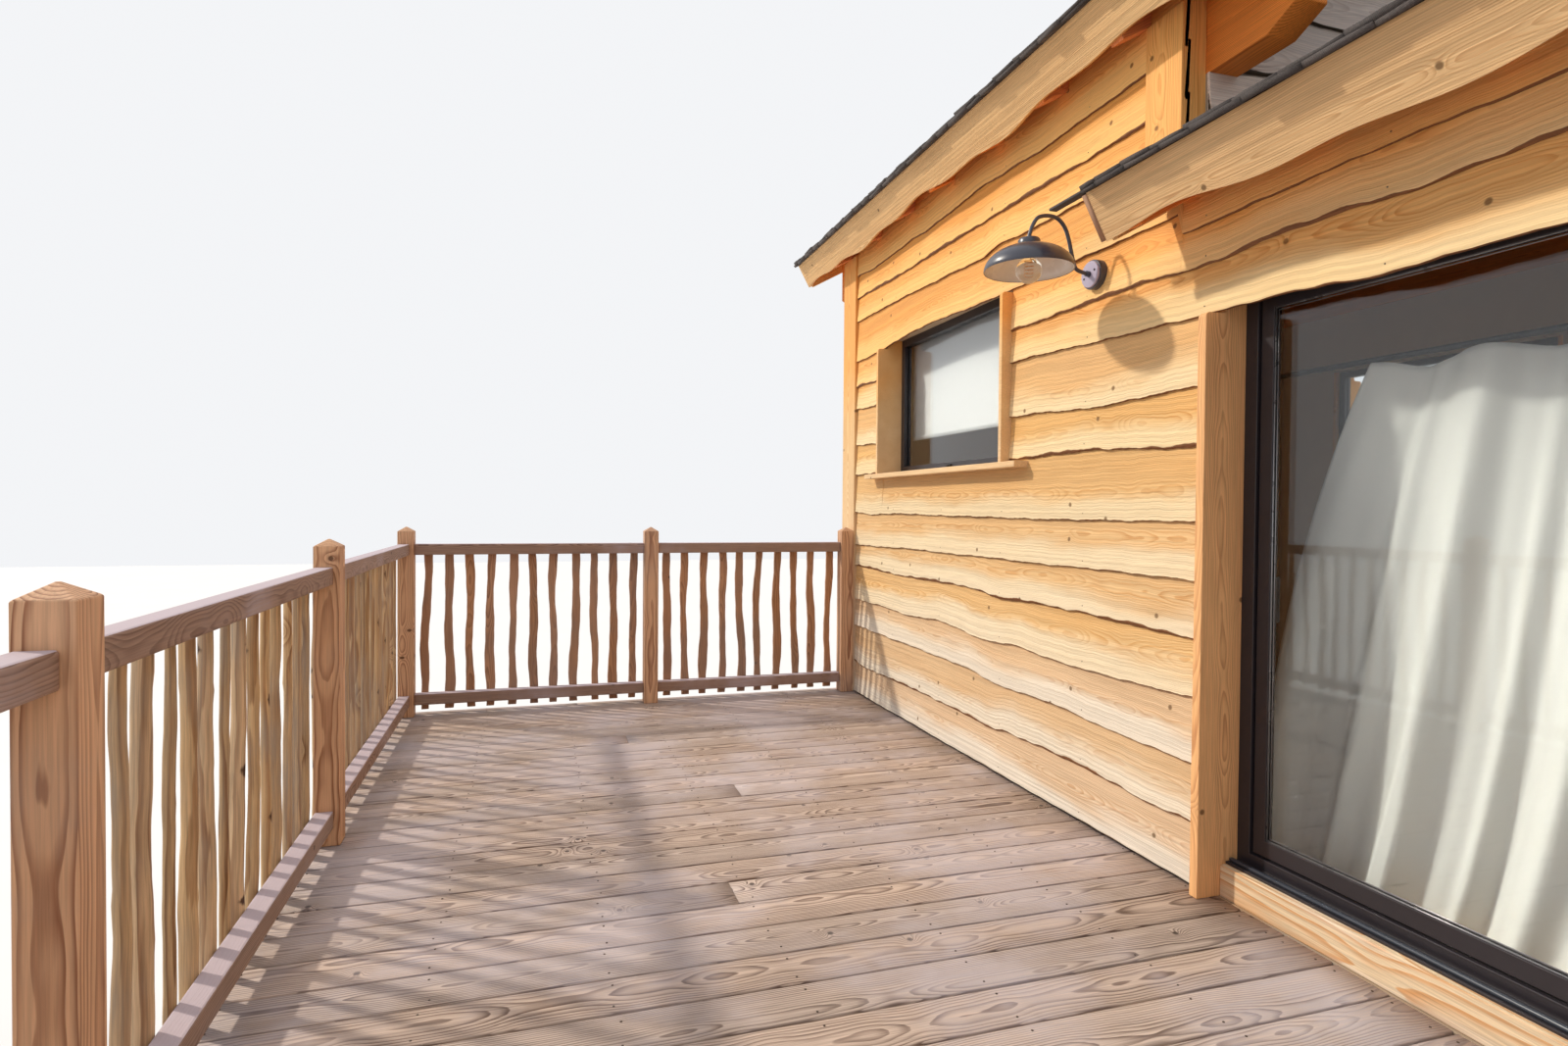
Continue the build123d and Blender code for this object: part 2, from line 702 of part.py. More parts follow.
def plank(x, y, seed):
    # a flat baluster with natural edges, wandering sideways
    rings = []
    count = 4
    for k in range(count):
        part = k / (count - 1)
        side = plank_sway * math.sin(2.6 * part + seed * 1.9)
        wide = plank_wide * (1.0 + 0.14 * math.sin(seed * 3.1 + 4.0 * part))
        z = deck_top + baluster_bottom + (baluster_top - baluster_bottom) * part
        rings.append(Pos(x + side, y, z) * Rectangle(wide, plank_thick))
    return loft(rings, ruled=True)


def railing():
    half = rail_post / 2.0
    x_left = deck_left + rail_post_inset + half
    y_far_post = deck_far - rail_post_far
    ys = [y_far_post]
    for bay in reversed(left_bays):
        ys.append(ys[-1] - bay)
    y_near_post = ys[-1]
    x_end = -post_proud - half
    x_mid = x_left + far_bay_split
    x_entry = -entry_gap - half
    left = [(x_left, y) for y in ys]
    far = [(x_mid, y_far_post), (x_end, y_far_post)]
    near = [(x_entry, y_near_post)]
    put("rail_posts", *[rail_post_at(x, y) for x, y in left + far + near])

    top_z = deck_top + rail_top
    low_z = deck_top + low_rail_bottom
    tops, lows = [], []
    in_x = x_left + half - rail_setback
    out_x = in_x - rail_wide
    for y1, y0 in zip(ys[:-1], ys[1:]):
        tops.append(block(out_x, in_x, y0 + half, y1 - half, top_z - rail_high, top_z))
        lows.append(block(out_x, in_x, y0 + half, y1 - half, low_z, low_z + rail_high))
    in_far = y_far_post - half + rail_setback
    out_far = in_far + rail_wide
    spans = [(x_left, x_mid), (x_mid, x_end)]
    for x0, x1 in spans:
        tops.append(block(x0 + half, x1 - half, in_far, out_far, top_z - rail_high, top_z))
        lows.append(block(x0 + half, x1 - half, in_far, out_far, low_z, low_z + rail_high))
    in_near = y_near_post + half - rail_setback
    out_near = in_near - rail_wide
    tops.append(block(x_left + half, x_entry - half, out_near, in_near, top_z - rail_high, top_z))
    lows.append(block(x_left + half, x_entry - half, out_near, in_near, low_z, low_z + rail_high))
    put("rails", *tops, *lows)

    seed = 0
    for number, (y1, y0) in enumerate(zip(ys[:-1], ys[1:]), start=1):
        count = int((y1 - y0 - rail_post) / branch_pitch)
        step = (y1 - y0 - rail_post) / count
        stems = []
        for k in range(count):
            seed += 1
            y = y0 + half + step * (k + 0.5)
            stems.append(branch(out_x, y, seed))
        put("branches_bay_%d" % number, *stems)
    for name, x0, x1, y in (("planks_far_left", x_left, x_mid, out_far + plank_thick / 2.0),
                            ("planks_far_right", x_mid, x_end, out_far + plank_thick / 2.0),
                            ("planks_near", x_left, x_entry, out_near - plank_thick / 2.0)):
        count = int((x1 - x0 - rail_post) / plank_pitch)
        step = (x1 - x0 - rail_post) / count
        stems = []
        for k in range(count):
            seed += 1
            stems.append(plank(x0 + half + step * (k + 0.5), y, seed))
        put(name, *stems)


structure()
railing()
walls()
windows()
door()
curtain()
lamp()
rafters()
roofs()

everything = Compound([solid for solids in nodes.values() for solid in solids])
whole = everything.bounding_box()
home = Pos(-(whole.min.X + whole.max.X) / 2.0, -(whole.min.Y + whole.max.Y) / 2.0, -whole.min.Z)
os.makedirs("parts", exist_ok=True)
for name, solids in nodes.items():
    shape = home * (Compound(solids) if len(solids) > 1 else solids[0])
    export_step(shape, "parts/%s.step" % name)
print(len(nodes), "nodes; whole size", whole.size)
print("moved by", home.position)
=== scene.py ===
import math

import bmesh
import bpy
import numpy as np
from mathutils import Matrix, Vector


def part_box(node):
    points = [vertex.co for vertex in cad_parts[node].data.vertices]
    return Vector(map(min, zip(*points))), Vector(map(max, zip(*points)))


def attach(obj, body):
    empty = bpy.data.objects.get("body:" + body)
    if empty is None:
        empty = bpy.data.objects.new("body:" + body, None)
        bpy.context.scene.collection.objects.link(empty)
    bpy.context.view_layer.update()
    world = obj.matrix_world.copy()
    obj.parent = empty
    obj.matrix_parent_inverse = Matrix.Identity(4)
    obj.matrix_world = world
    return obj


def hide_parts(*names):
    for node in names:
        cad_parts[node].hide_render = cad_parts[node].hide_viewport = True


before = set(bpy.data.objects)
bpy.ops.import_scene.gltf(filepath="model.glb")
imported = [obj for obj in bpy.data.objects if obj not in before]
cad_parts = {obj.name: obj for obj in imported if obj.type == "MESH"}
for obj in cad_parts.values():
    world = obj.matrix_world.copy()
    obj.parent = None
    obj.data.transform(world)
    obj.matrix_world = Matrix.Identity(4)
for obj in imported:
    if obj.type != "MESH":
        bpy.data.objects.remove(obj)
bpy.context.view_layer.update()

dice = np.random.default_rng(11)
scene = bpy.context.scene
scene.view_settings.view_transform = "Standard"

# Main faces of the cabin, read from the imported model
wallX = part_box("wall_deck_tall")[0].x
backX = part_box("wall_back_tall")[1].x
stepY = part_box("gable_step")[0].y
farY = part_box("gable_far")[1].y
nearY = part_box("gable_near")[0].y
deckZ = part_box("deck_boards")[1].z
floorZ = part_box("floor_boards")[1].z
ridgeX = (wallX + backX) / 2.0

roofPlan = {  # one pitch, and each eave's top outer edge: how far out of the wall and above the deck
    "pitch": math.radians(29.0), "tall": (0.262, 3.310), "low": (0.377, 2.510),
    "boardTopDrop": 0.044, "gableTopDrop": 0.235,
}


# Placing points

def grid(*sizes):
    # evenly spaced numbers from 0 to 1 along each axis, shaped to spread over whole arrays
    shaped = []
    for place, size in enumerate(sizes):
        shape = [1] * len(sizes)
        shape[place] = size
        shaped.append(np.linspace(0.0, 1.0, size).reshape(shape))
    return shaped


def stack(*parts):
    # x, y and z arrays of any matching shapes become one array of points
    return np.stack(np.broadcast_arrays(*parts), axis=-1).astype(float)


def circle(count):
    # even turns once round, in radians
    return np.linspace(0.0, 2.0 * np.pi, count + 1)[:-1]


def waves(place, phase, table):
    # sum of sines: for each (length, height) add height * sin(2 pi place / length + its own phase)
    total = 0.0
    for number, (length, height) in enumerate(table):
        total = total + height * np.sin(2 * np.pi * place / length + phase * (3.7 + 2.3 * number))
    return total


def slopeLine(x, part):
    # height of a roof's top line above x: it climbs from the eave by the pitch, mirrored at the ridge
    out, up = roofPlan[part]
    fromEave = ridgeX - np.abs(x - ridgeX) - (wallX - out)
    return deckZ + up + fromEave * math.tan(roofPlan["pitch"])


# Turning arrays into pieces

def meshFrom(name, points, faceSets):
    # points is any array of xyz; each face set is an array with one row of corners per face
    mesh = bpy.data.meshes.new(name)
    flat = np.ascontiguousarray(points.reshape(-1, 3), dtype=np.float32)
    corners = np.concatenate([faces.ravel() for faces in faceSets]).astype(np.int32)
    counts = np.concatenate([np.full(len(faces), faces.shape[1]) for faces in faceSets])
    starts = (np.cumsum(counts) - counts).astype(np.int32)
    mesh.vertices.add(len(flat))
    mesh.vertices.foreach_set("co", flat.ravel())
    mesh.loops.add(len(corners))
    mesh.loops.foreach_set("vertex_index", corners)
    mesh.polygons.add(len(counts))
    mesh.polygons.foreach_set("loop_start", starts)
    mesh.update(calc_edges=True)
    mesh.validate()
    return mesh


def addMark(mesh, key, values):
    # a number, or a vector, kept on each point for the materials to read
    kind = "FLOAT_VECTOR" if values.shape[-1] == 3 and values.ndim > 1 else "FLOAT"
    mark = mesh.attributes.new(key, kind, "POINT")
    mark.data.foreach_set("vector" if kind == "FLOAT_VECTOR" else "value",
                          np.ascontiguousarray(values, dtype=np.float32).ravel())


def tubes(rings):
    # rings is (copies, stations, points round, xyz): each copy is a closed skin with two end caps.
    # Rings that run the wrong way round are turned, so that every face looks outwards.
    copies, stations, around = rings.shape[:3]
    middle = rings[:, stations // 2]
    spread = middle - middle.mean(axis=1, keepdims=True)
    turn = np.cross(spread, np.roll(spread, -1, axis=1)).sum(axis=1)
    way = rings[:, -1].mean(axis=1) - rings[:, 0].mean(axis=1)
    wrong = (turn * way).sum(axis=1) > 0
    order = np.where(wrong[:, None], np.arange(around)[::-1], np.arange(around))
    start = (np.arange(copies) * stations * around)[:, None, None]
    here = start + (np.arange(stations) * around)[:, None] + order[:, None, :]
    a, b = here[:, :-1], here[:, 1:]
    sides = np.stack([a, b, np.roll(b, -1, axis=2), np.roll(a, -1, axis=2)], axis=-1).reshape(-1, 4)
    return [sides, here[:, 0], here[:, -1, ::-1]]


def smooth(mesh, degrees):
    # soft shading, but for edges sharper than these degrees
    mesh.polygons.foreach_set("use_smooth", np.ones(len(mesh.polygons), dtype=bool))
    mesh.set_sharp_from_angle(angle=math.radians(degrees))
    return mesh


def place(name, mesh, paint, slot, replaces=(), body="cabin"):
    # puts a mesh into the scene at the origin and on its body; slot is not used
    thing = bpy.data.objects.new(name, mesh)
    scene.collection.objects.link(thing)
    mesh.materials.append(paints[paint])
    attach(thing, body)
    if replaces:
        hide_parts(*replaces)
    return thing


def skins(name, rings, paint, slot, replaces=(), body="cabin", degrees=0.0, **marks):
    # one piece of closed skins through rings; each mark is spread over the rings' points
    mesh = meshFrom(name, rings, tubes(rings))
    for key, values in marks.items():
        spread = np.broadcast_to(values, rings.shape[:3] + np.shape(values)[3:])
        addMark(mesh, key, spread.reshape(len(mesh.vertices), -1))
    if degrees:
        smooth(mesh, degrees)
    return place(name, mesh, paint, slot, replaces, body)


def islands(count, edges):
    # the same label for all points that edges join, found by passing the lowest label along
    labels = np.arange(count)
    while True:
        low = np.minimum(labels[edges[:, 0]], labels[edges[:, 1]])
        fresh = labels.copy()
        np.minimum.at(fresh, edges[:, 0], low)
        np.minimum.at(fresh, edges[:, 1], low)
        fresh = fresh[fresh]
        if np.array_equal(fresh, labels):
            return np.unique(labels, return_inverse=True)[1]
        labels = fresh


def weldedCopy(node, name, whole=True):
    # a copy of a node's mesh with its loose triangles joined and, if whole, its flat faces made one
    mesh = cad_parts[node].data.copy()
    mesh.name = name
    work = bmesh.new()
    work.from_mesh(mesh)
    bmesh.ops.remove_doubles(work, verts=work.verts, dist=0.00005)
    if whole:
        bmesh.ops.dissolve_limit(work, angle_limit=math.radians(0.5), verts=work.verts, edges=work.edges)
    work.to_mesh(mesh)
    work.free()
    mesh.materials.clear()
    for layer in list(mesh.uv_layers):
        mesh.uv_layers.remove(layer)
    return mesh


def pointsAndLabels(mesh):
    # every point, and the number of the solid that it belongs to
    spots = np.empty(len(mesh.vertices) * 3, dtype=np.float32)
    mesh.vertices.foreach_get("co", spots)
    ends = np.empty(len(mesh.edges) * 2, dtype=np.int32)
    mesh.edges.foreach_get("vertices", ends)
    return spots.reshape(-1, 3).astype(float), islands(len(mesh.vertices), ends.reshape(-1, 2))


def solidBoxes(node):
    # lowest and highest corner of each separate solid of a node
    mesh = weldedCopy(node, "scratch")
    spots, labels = pointsAndLabels(mesh)
    low = np.full((labels.max() + 1, 3), 1e9)
    high = -low
    np.minimum.at(low, labels, spots)
    np.maximum.at(high, labels, spots)
    bpy.data.meshes.remove(mesh)
    return low, high


def levelsOf(node):
    # each upright solid of a node: its middle and half width at the levels of its rings, which are
    # shared out evenly over as many levels as the solid with the most rings has
    mesh = weldedCopy(node, "scratch", False)
    spots, labels = pointsAndLabels(mesh)
    order = np.lexsort((spots[:, 2], labels))
    spots, labels = spots[order], labels[order]
    ringGap = 0.03
    fresh = (np.diff(spots[:, 2]) > ringGap) | (np.diff(labels) > 0)
    step = np.cumsum(np.concatenate([[0], fresh]))
    step = step - step[np.searchsorted(labels, labels)]
    low = np.full((labels.max() + 1, step.max() + 1, 3), 1e9)
    high = -low
    np.minimum.at(low, (labels, step), spots)
    np.maximum.at(high, (labels, step), spots)
    bpy.data.meshes.remove(mesh)
    both = np.concatenate([(low + high) / 2, (high - low) / 2], axis=-1)
    last = (low[..., 0] < 1e8).sum(axis=1)[:, None] - 1
    spot = np.linspace(0, 1, low.shape[1])[None] * last
    first = np.minimum(spot.astype(int), last - 1)[..., None]
    part = spot[..., None] - first
    line = np.take_along_axis(both, first, 1) * (1 - part) + np.take_along_axis(both, first + 1, 1) * part
    return line[..., :3], line[..., 3:]


def glide(values, steps):
    # Catmull-Rom along the second axis: between two points the line leaves along half the step from
    # the point before to the point after
    first, last = 2 * values[:, :1] - values[:, 1:2], 2 * values[:, -1:] - values[:, -2:-1]
    padded = np.concatenate([first, values, last], axis=1)
    t = np.linspace(0, 1, steps, endpoint=False)[None, None, :, None]
    a, b, c, d = [padded[:, k:padded.shape[1] - 3 + k, None] for k in range(4)]
    line = 0.5 * (2 * b + (c - a) * t + (2 * a - 5 * b + 4 * c - d) * t ** 2
                  + (3 * b - a - 3 * c + d) * t ** 3)
    return np.concatenate([line.reshape(len(values), -1, values.shape[-1]), values[:, -1:]], axis=1)


def blocks(name, lows, highs, paint, slot, edge=0.0, body="cabin"):
    # plain boxes between opposite corners, as one piece
    lows, highs = np.array(lows, dtype=float), np.array(highs, dtype=float)
    ring = np.array([[0, 0], [1, 0], [1, 1], [0, 1]])
    share = np.stack([np.c_[ring, np.zeros(4)], np.c_[ring, np.ones(4)]])
    rings = lows[:, None, None] + (highs - lows)[:, None, None] * share
    thing = skins(name, rings, paint, slot, body=body)
    if edge:
        softenEdges(thing, edge)


def softenEdges(thing, edge):
    # a bevel of two steps on every edge sharper than 40 degrees
    ease = thing.modifiers.new("edges", "BEVEL")
    ease.width = edge
    ease.segments = 2
    ease.limit_method = "ANGLE"
    ease.angle_limit = math.radians(40.0)


def roundTops(mesh, radius, boardThick=0.045):
    # rounds the edge, no longer than a board is thick, where its outer end meets its top
    work = bmesh.new()
    work.from_mesh(mesh)
    work.normal_update()
    chosen = []
    for edge in work.edges:
        if edge.calc_length() > boardThick or len(edge.link_faces) != 2:
            continue
        top, side = sorted(edge.link_faces, key=lambda face: -face.normal.z)
        middle = (edge.verts[0].co + edge.verts[1].co) / 2.0
        outward = middle - Vector((ridgeX, (farY + nearY) / 2.0, middle.z))
        if top.normal.z > 0.9 and abs(side.normal.z) < 0.1 and side.normal.dot(outward) > 0.5:
            chosen.append(edge)
    bmesh.ops.bevel(work, geom=chosen, offset=radius, segments=4, profile=0.5, affect="EDGES")
    work.to_mesh(mesh)
    work.free()


def dress(node, paint, slot, edge=0.003, body="cabin", topRound=0.0):
    # a node's own shape with eased edges, and for each solid its place along and across the grain,
    # taken from the solid's longest direction
    mesh = weldedCopy(node, node + "_dressed")
    if topRound:
        roundTops(mesh, topRound)
    spots, labels = pointsAndLabels(mesh)
    total = labels.max() + 1
    count = np.bincount(labels)[:, None]
    centre = np.zeros((total, 3))
    np.add.at(centre, labels, spots)
    centre /= count
    local = spots - centre[labels]
    spread = np.zeros((total, 3, 3))
    np.add.at(spread, labels, local[:, :, None] * local[:, None, :])
    axes = np.linalg.eigh(spread)[1][:, :, ::-1]
    grain = np.einsum("pi,pij->pj", local, axes[labels])
    addMark(mesh, "grain", grain)
    addMark(mesh, "seed", dice.random(total)[labels])
    thing = place(mesh.name, mesh, paint, slot, (node,), body)
    if edge:
        softenEdges(thing, edge)


# Materials

def tint(red, green, blue):
    # a colour as it is seen, 0 to 255, to the linear numbers that the shader takes
    seen = np.array([red, green, blue]) / 255.0
    linear = np.where(seen <= 0.04045, seen / 12.92, ((seen + 0.055) / 1.055) ** 2.4)
    return (*linear.tolist(), 1.0)


def addNode(tree, kind, inputs=None, **settings):
    node = tree.nodes.new("ShaderNode" + kind)
    for key, value in settings.items():
        setattr(node, key, value)
    for key, value in (inputs or {}).items():
        if isinstance(value, bpy.types.NodeSocket):
            tree.links.new(value, node.inputs[key])
        else:
            node.inputs[key].default_value = value
    return node


def mark(tree, name, what="Fac"):
    return addNode(tree, "Attribute", attribute_name=name).outputs[what]


def split(tree, vector):
    return addNode(tree, "SeparateXYZ", {0: vector}).outputs


def vectorOf(tree, x, y, z):
    return addNode(tree, "CombineXYZ", {0: x, 1: y, 2: z}).outputs[0]


def calc(tree, what, *values):
    return addNode(tree, "Math", dict(enumerate(values)), operation=what).outputs[0]


def blendColour(tree, factor, first, second, how="MIX"):
    node = addNode(tree, "Mix", {0: factor, 6: first, 7: second}, data_type="RGBA", blend_type=how)
    return node.outputs[2]


def between(tree, value, low, high, outLow=0.0, outHigh=1.0):
    node = addNode(tree, "MapRange", {0: value, 1: low, 2: high, 3: outLow, 4: outHigh},
                   interpolation_type="SMOOTHSTEP")
    return node.outputs[0]


def ramp(tree, value, stops):
    node = addNode(tree, "ValToRGB", {0: value})
    band = node.color_ramp
    while len(band.elements) < len(stops):
        band.elements.new(0.5)
    for element, (spot, colour) in zip(band.elements, stops):
        element.position = spot
        element.color = colour
    return node.outputs[0]


def cloud(tree, vector, scale, detail=3.0, rough=0.55):
    return addNode(tree, "TexNoise", {"Vector": vector, "Scale": scale, "Detail": detail,
                                      "Roughness": rough}).outputs[0]


def stretched(tree, vector, x, y, z):
    return addNode(tree, "VectorMath", {0: vector, 1: (x, y, z)}, operation="MULTIPLY").outputs[0]


def newPaint(name, rough=0.6):
    paint = bpy.data.materials.new(name)
    paint.use_nodes = True
    tree = paint.node_tree
    skin = tree.nodes["Principled BSDF"]
    skin.inputs["Roughness"].default_value = rough
    return paint, tree, skin


def relief(tree, skin, height, deep):
    bump = addNode(tree, "Bump", {"Height": height, "Distance": deep, "Strength": 1.0})
    tree.links.new(bump.outputs[0], skin.inputs["Normal"])


def timber(name, early, late, ring=0.006, pith=0.10, tone=0.14, knots=1.0, grey=None, greyFrom=0.5,
           rough=0.68, deep=0.0006, fibre=0.16, barkColour=(116, 74, 44), sap=None, rind=None, heightTintWithShade=None,
           saw=0.0, knotAt=None, knotSize=0.024, topGrey=0.0):
    # growth rings round a pith that wanders, knots that push the rings aside, fibres along the
    # grain and a tone of its own for each board; reads the grain, seed and bark marks
    paint, tree, skin = newPaint(name, rough)
    grain, seed, bark = mark(tree, "grain", "Vector"), mark(tree, "seed"), mark(tree, "bark")
    along, across, inward = split(tree, grain)
    knotsPerMetre = 1.9
    number = calc(tree, "ROUND", calc(tree, "MULTIPLY", seed, 997.0))
    shift = calc(tree, "MULTIPLY", number, 0.0613)
    luck = addNode(tree, "TexWhiteNoise", {"W": number}, noise_dimensions="1D").outputs["Color"]
    chance = split(tree, luck)
    line = vectorOf(tree, along, shift, 0.0)
    drift = addNode(tree, "TexNoise", {"Vector": line, "Scale": 0.9, "Detail": 2.0})
    sway = calc(tree, "SUBTRACT", drift.outputs[0], 0.5)
    lift = calc(tree, "SUBTRACT", addNode(tree, "TexNoise", {"Vector": line, "Scale": 1.7}).outputs[0], 0.5)
    pithAcross = calc(tree, "MULTIPLY_ADD", calc(tree, "SUBTRACT", chance[0], 0.5), pith,
                      calc(tree, "MULTIPLY", sway, pith * 0.6))
    pithIn = calc(tree, "MULTIPLY_ADD", chance[1], pith * 0.5,
                  calc(tree, "MULTIPLY_ADD", lift, pith * 0.9, pith * 0.22))
    aside = calc(tree, "SUBTRACT", across, pithAcross)
    below = calc(tree, "ADD", inward, pithIn)
    radius = calc(tree, "SQRT", calc(tree, "ADD", calc(tree, "MULTIPLY", aside, aside),
                                     calc(tree, "MULTIPLY", below, below)))
    spot = vectorOf(tree, calc(tree, "ADD", along, shift), calc(tree, "MULTIPLY_ADD", seed, 7.3, across), 0.0)
    cell = addNode(tree, "TexVoronoi", {"Vector": spot, "Scale": knotsPerMetre}, voronoi_dimensions="2D")
    gap = calc(tree, "DIVIDE", cell.outputs["Distance"], knotsPerMetre)
    if knotAt:
        apart = vectorOf(tree, calc(tree, "SUBTRACT", along, knotAt[0]),
                         calc(tree, "SUBTRACT", across, knotAt[1]), 0.0)
        gap = addNode(tree, "VectorMath", {0: apart}, operation="LENGTH").outputs["Value"]
    near = calc(tree, "DIVIDE", gap, knotSize)
    push = calc(tree, "DIVIDE", 2.6 * knots, calc(tree, "MULTIPLY_ADD", near, near, 1.0))
    ripple = calc(tree, "MULTIPLY", cloud(tree, stretched(tree, grain, 3.0, 26.0, 26.0), 1.0, 2.0), 0.9)
    phase = calc(tree, "ADD", calc(tree, "ADD", calc(tree, "DIVIDE", radius, ring), push), ripple)
    wave = calc(tree, "FRACT", phase)
    rings = ramp(tree, wave, [(0.0, (0, 0, 0, 1)), (0.45, (0.18, 0.18, 0.18, 1)),
                              (0.86, (1, 1, 1, 1)), (0.95, (0.9, 0.9, 0.9, 1)), (1.0, (0, 0, 0, 1))])
    offset = vectorOf(tree, shift, shift, shift)
    placeIn = addNode(tree, "VectorMath", {0: grain, 1: offset}, operation="ADD").outputs[0]
    streak = cloud(tree, stretched(tree, placeIn, 5.0, 210.0, 210.0), 1.0, 4.0, 0.6)
    broad = cloud(tree, stretched(tree, placeIn, 1.3, 14.0, 14.0), 1.0, 3.0)
    strength = calc(tree, "MULTIPLY", rings, between(tree, broad, 0.25, 0.75, 0.45, 1.0))
    colour = blendColour(tree, strength, tint(*early), tint(*late))
    if sap:
        colour = blendColour(tree, between(tree, broad, 0.52, 0.68, 0.0, 0.7), colour, tint(*sap))
    if rind:
        # pale sapwood fades into the heart of the board above its natural edge
        drift = cloud(tree, stretched(tree, placeIn, 1.1, 5.0, 5.0), 1.0, 3.0)
        height = calc(tree, "MULTIPLY_ADD", calc(tree, "SUBTRACT", drift, 0.5), 0.22, mark(tree, "rind"))
        colour = blendColour(tree, between(tree, height, 0.145, 0.055, 0.0, 0.82), colour, tint(*rind))
    bright = calc(tree, "ADD", between(tree, streak, 0.3, 0.7, 1.0 - fibre, 1.0 + fibre * 0.5),
                  calc(tree, "MULTIPLY", calc(tree, "SUBTRACT", chance[2], 0.5), 2.0 * tone))
    if saw:
        # fine lines that the band saw left along the face
        lines = cloud(tree, stretched(tree, placeIn, 0.5, 78.0, 4.0), 1.0, 1.0, 0.4)
        lines = between(tree, lines, 0.36, 0.62)
        bright = calc(tree, "MULTIPLY", bright,
                      calc(tree, "MULTIPLY_ADD", lines, 0.13 * saw, 1.0 - 0.10 * saw))
    strong = between(tree, chance[1], 0.0, 1.0, 0.92, 1.05)
    shade = addNode(tree, "HueSaturation", {"Value": bright, "Color": colour, "Saturation": strong})
    colour = shade.outputs[0]
    if knots:
        core = between(tree, gap, 0.006, 0.013, 0.85, 0.0)
        colour = blendColour(tree, core, colour, tint(*[value * 0.55 for value in late]))
    if grey:
        spots = addNode(tree, "TexCoord").outputs["Object"]
        worn = cloud(tree, spots, 1.6, 4.0, 0.62)
        worn = between(tree, worn, greyFrom - 0.14, greyFrom + 0.16, 0.0, 0.8)
        worn = calc(tree, "MULTIPLY", worn, between(tree, streak, 0.3, 0.62, 1.0, 0.55))
        if topGrey:
            facing = split(tree, addNode(tree, "NewGeometry").outputs["Normal"])[2]
            worn = calc(tree, "MAXIMUM", worn, between(tree, facing, 0.5, 0.95, 0.0, topGrey))
        colour = blendColour(tree, worn, colour, tint(*grey))
    if heightTintWithShade:
        # splashed and bleached low down; darker and more orange under the eaves, which is partly the wood's
        # own tone and partly painted shade and warm bounce light
        up = split(tree, addNode(tree, "TexCoord").outputs["Object"])[2]
        drift = cloud(tree, stretched(tree, placeIn, 0.8, 3.0, 3.0), 1.0, 3.0)
        up = calc(tree, "MULTIPLY_ADD", calc(tree, "SUBTRACT", drift, 0.5), 0.7, up)
        share = calc(tree, "DIVIDE", calc(tree, "SUBTRACT", up, deckZ), 4.0)
        stops = [(at / 4.0, (*rgb, 1.0)) for at, rgb in heightTintWithShade]
        colour = blendColour(tree, 1.0, colour, ramp(tree, share, stops), "MULTIPLY")
    flake = cloud(tree, stretched(tree, placeIn, 30.0, 90.0, 90.0), 1.0, 4.0)
    barkTone = blendColour(tree, flake, tint(*[value * 0.6 for value in barkColour]), tint(*barkColour))
    edge = between(tree, calc(tree, "MULTIPLY_ADD", flake, 0.5, bark), 0.62, 0.86)
    colour = blendColour(tree, edge, colour, barkTone)
    tree.links.new(colour, skin.inputs["Base Color"])
    height = calc(tree, "MULTIPLY_ADD", rings, 0.35, calc(tree, "MULTIPLY", streak, 0.75))
    if saw:
        height = calc(tree, "MULTIPLY_ADD", lines, saw, height)
    relief(tree, skin, height, deep)
    skin.inputs["Specular IOR Level"].default_value = 0.32
    return paint


def plainPaint(name, colour, rough, metal=0.0, spread=0.06, scale=40.0, deep=0.0, coat=0.0):
    # one colour with a soft mottle, a little uneven gloss and an optional fine orange-peel bump
    paint, tree, skin = newPaint(name, rough)
    spots = addNode(tree, "TexCoord").outputs["Object"]
    mottle = cloud(tree, spots, scale, 4.0)
    low = tint(*[value * (1.0 - spread) for value in colour])
    high = tint(*[min(255.0, value * (1.0 + spread)) for value in colour])
    tree.links.new(blendColour(tree, mottle, low, high), skin.inputs["Base Color"])
    tree.links.new(between(tree, cloud(tree, spots, scale * 0.35), 0.3, 0.7, rough * 0.85, rough * 1.15),
                   skin.inputs["Roughness"])
    skin.inputs["Metallic"].default_value = metal
    skin.inputs["Coat Weight"].default_value = coat
    if deep:
        relief(tree, skin, cloud(tree, spots, 900.0, 2.0), deep)
    return paint


def paneGlass(name, colour, rough):
    # clear glass; lamps reach what lies behind it through a Transparent shader
    paint, tree, skin = newPaint(name, rough)
    skin.inputs["Base Color"].default_value = tint(*colour)
    skin.inputs["Transmission Weight"].default_value = 1.0
    skin.inputs["IOR"].default_value = 1.45
    clear = addNode(tree, "BsdfTransparent", {"Color": tint(*colour)})
    rays = addNode(tree, "LightPath")
    mix = addNode(tree, "MixShader", {0: rays.outputs["Is Shadow Ray"], 1: skin.outputs[0],
                                      2: clear.outputs[0]})
    tree.links.new(mix.outputs[0], tree.nodes["Material Output"].inputs["Surface"])
    return paint


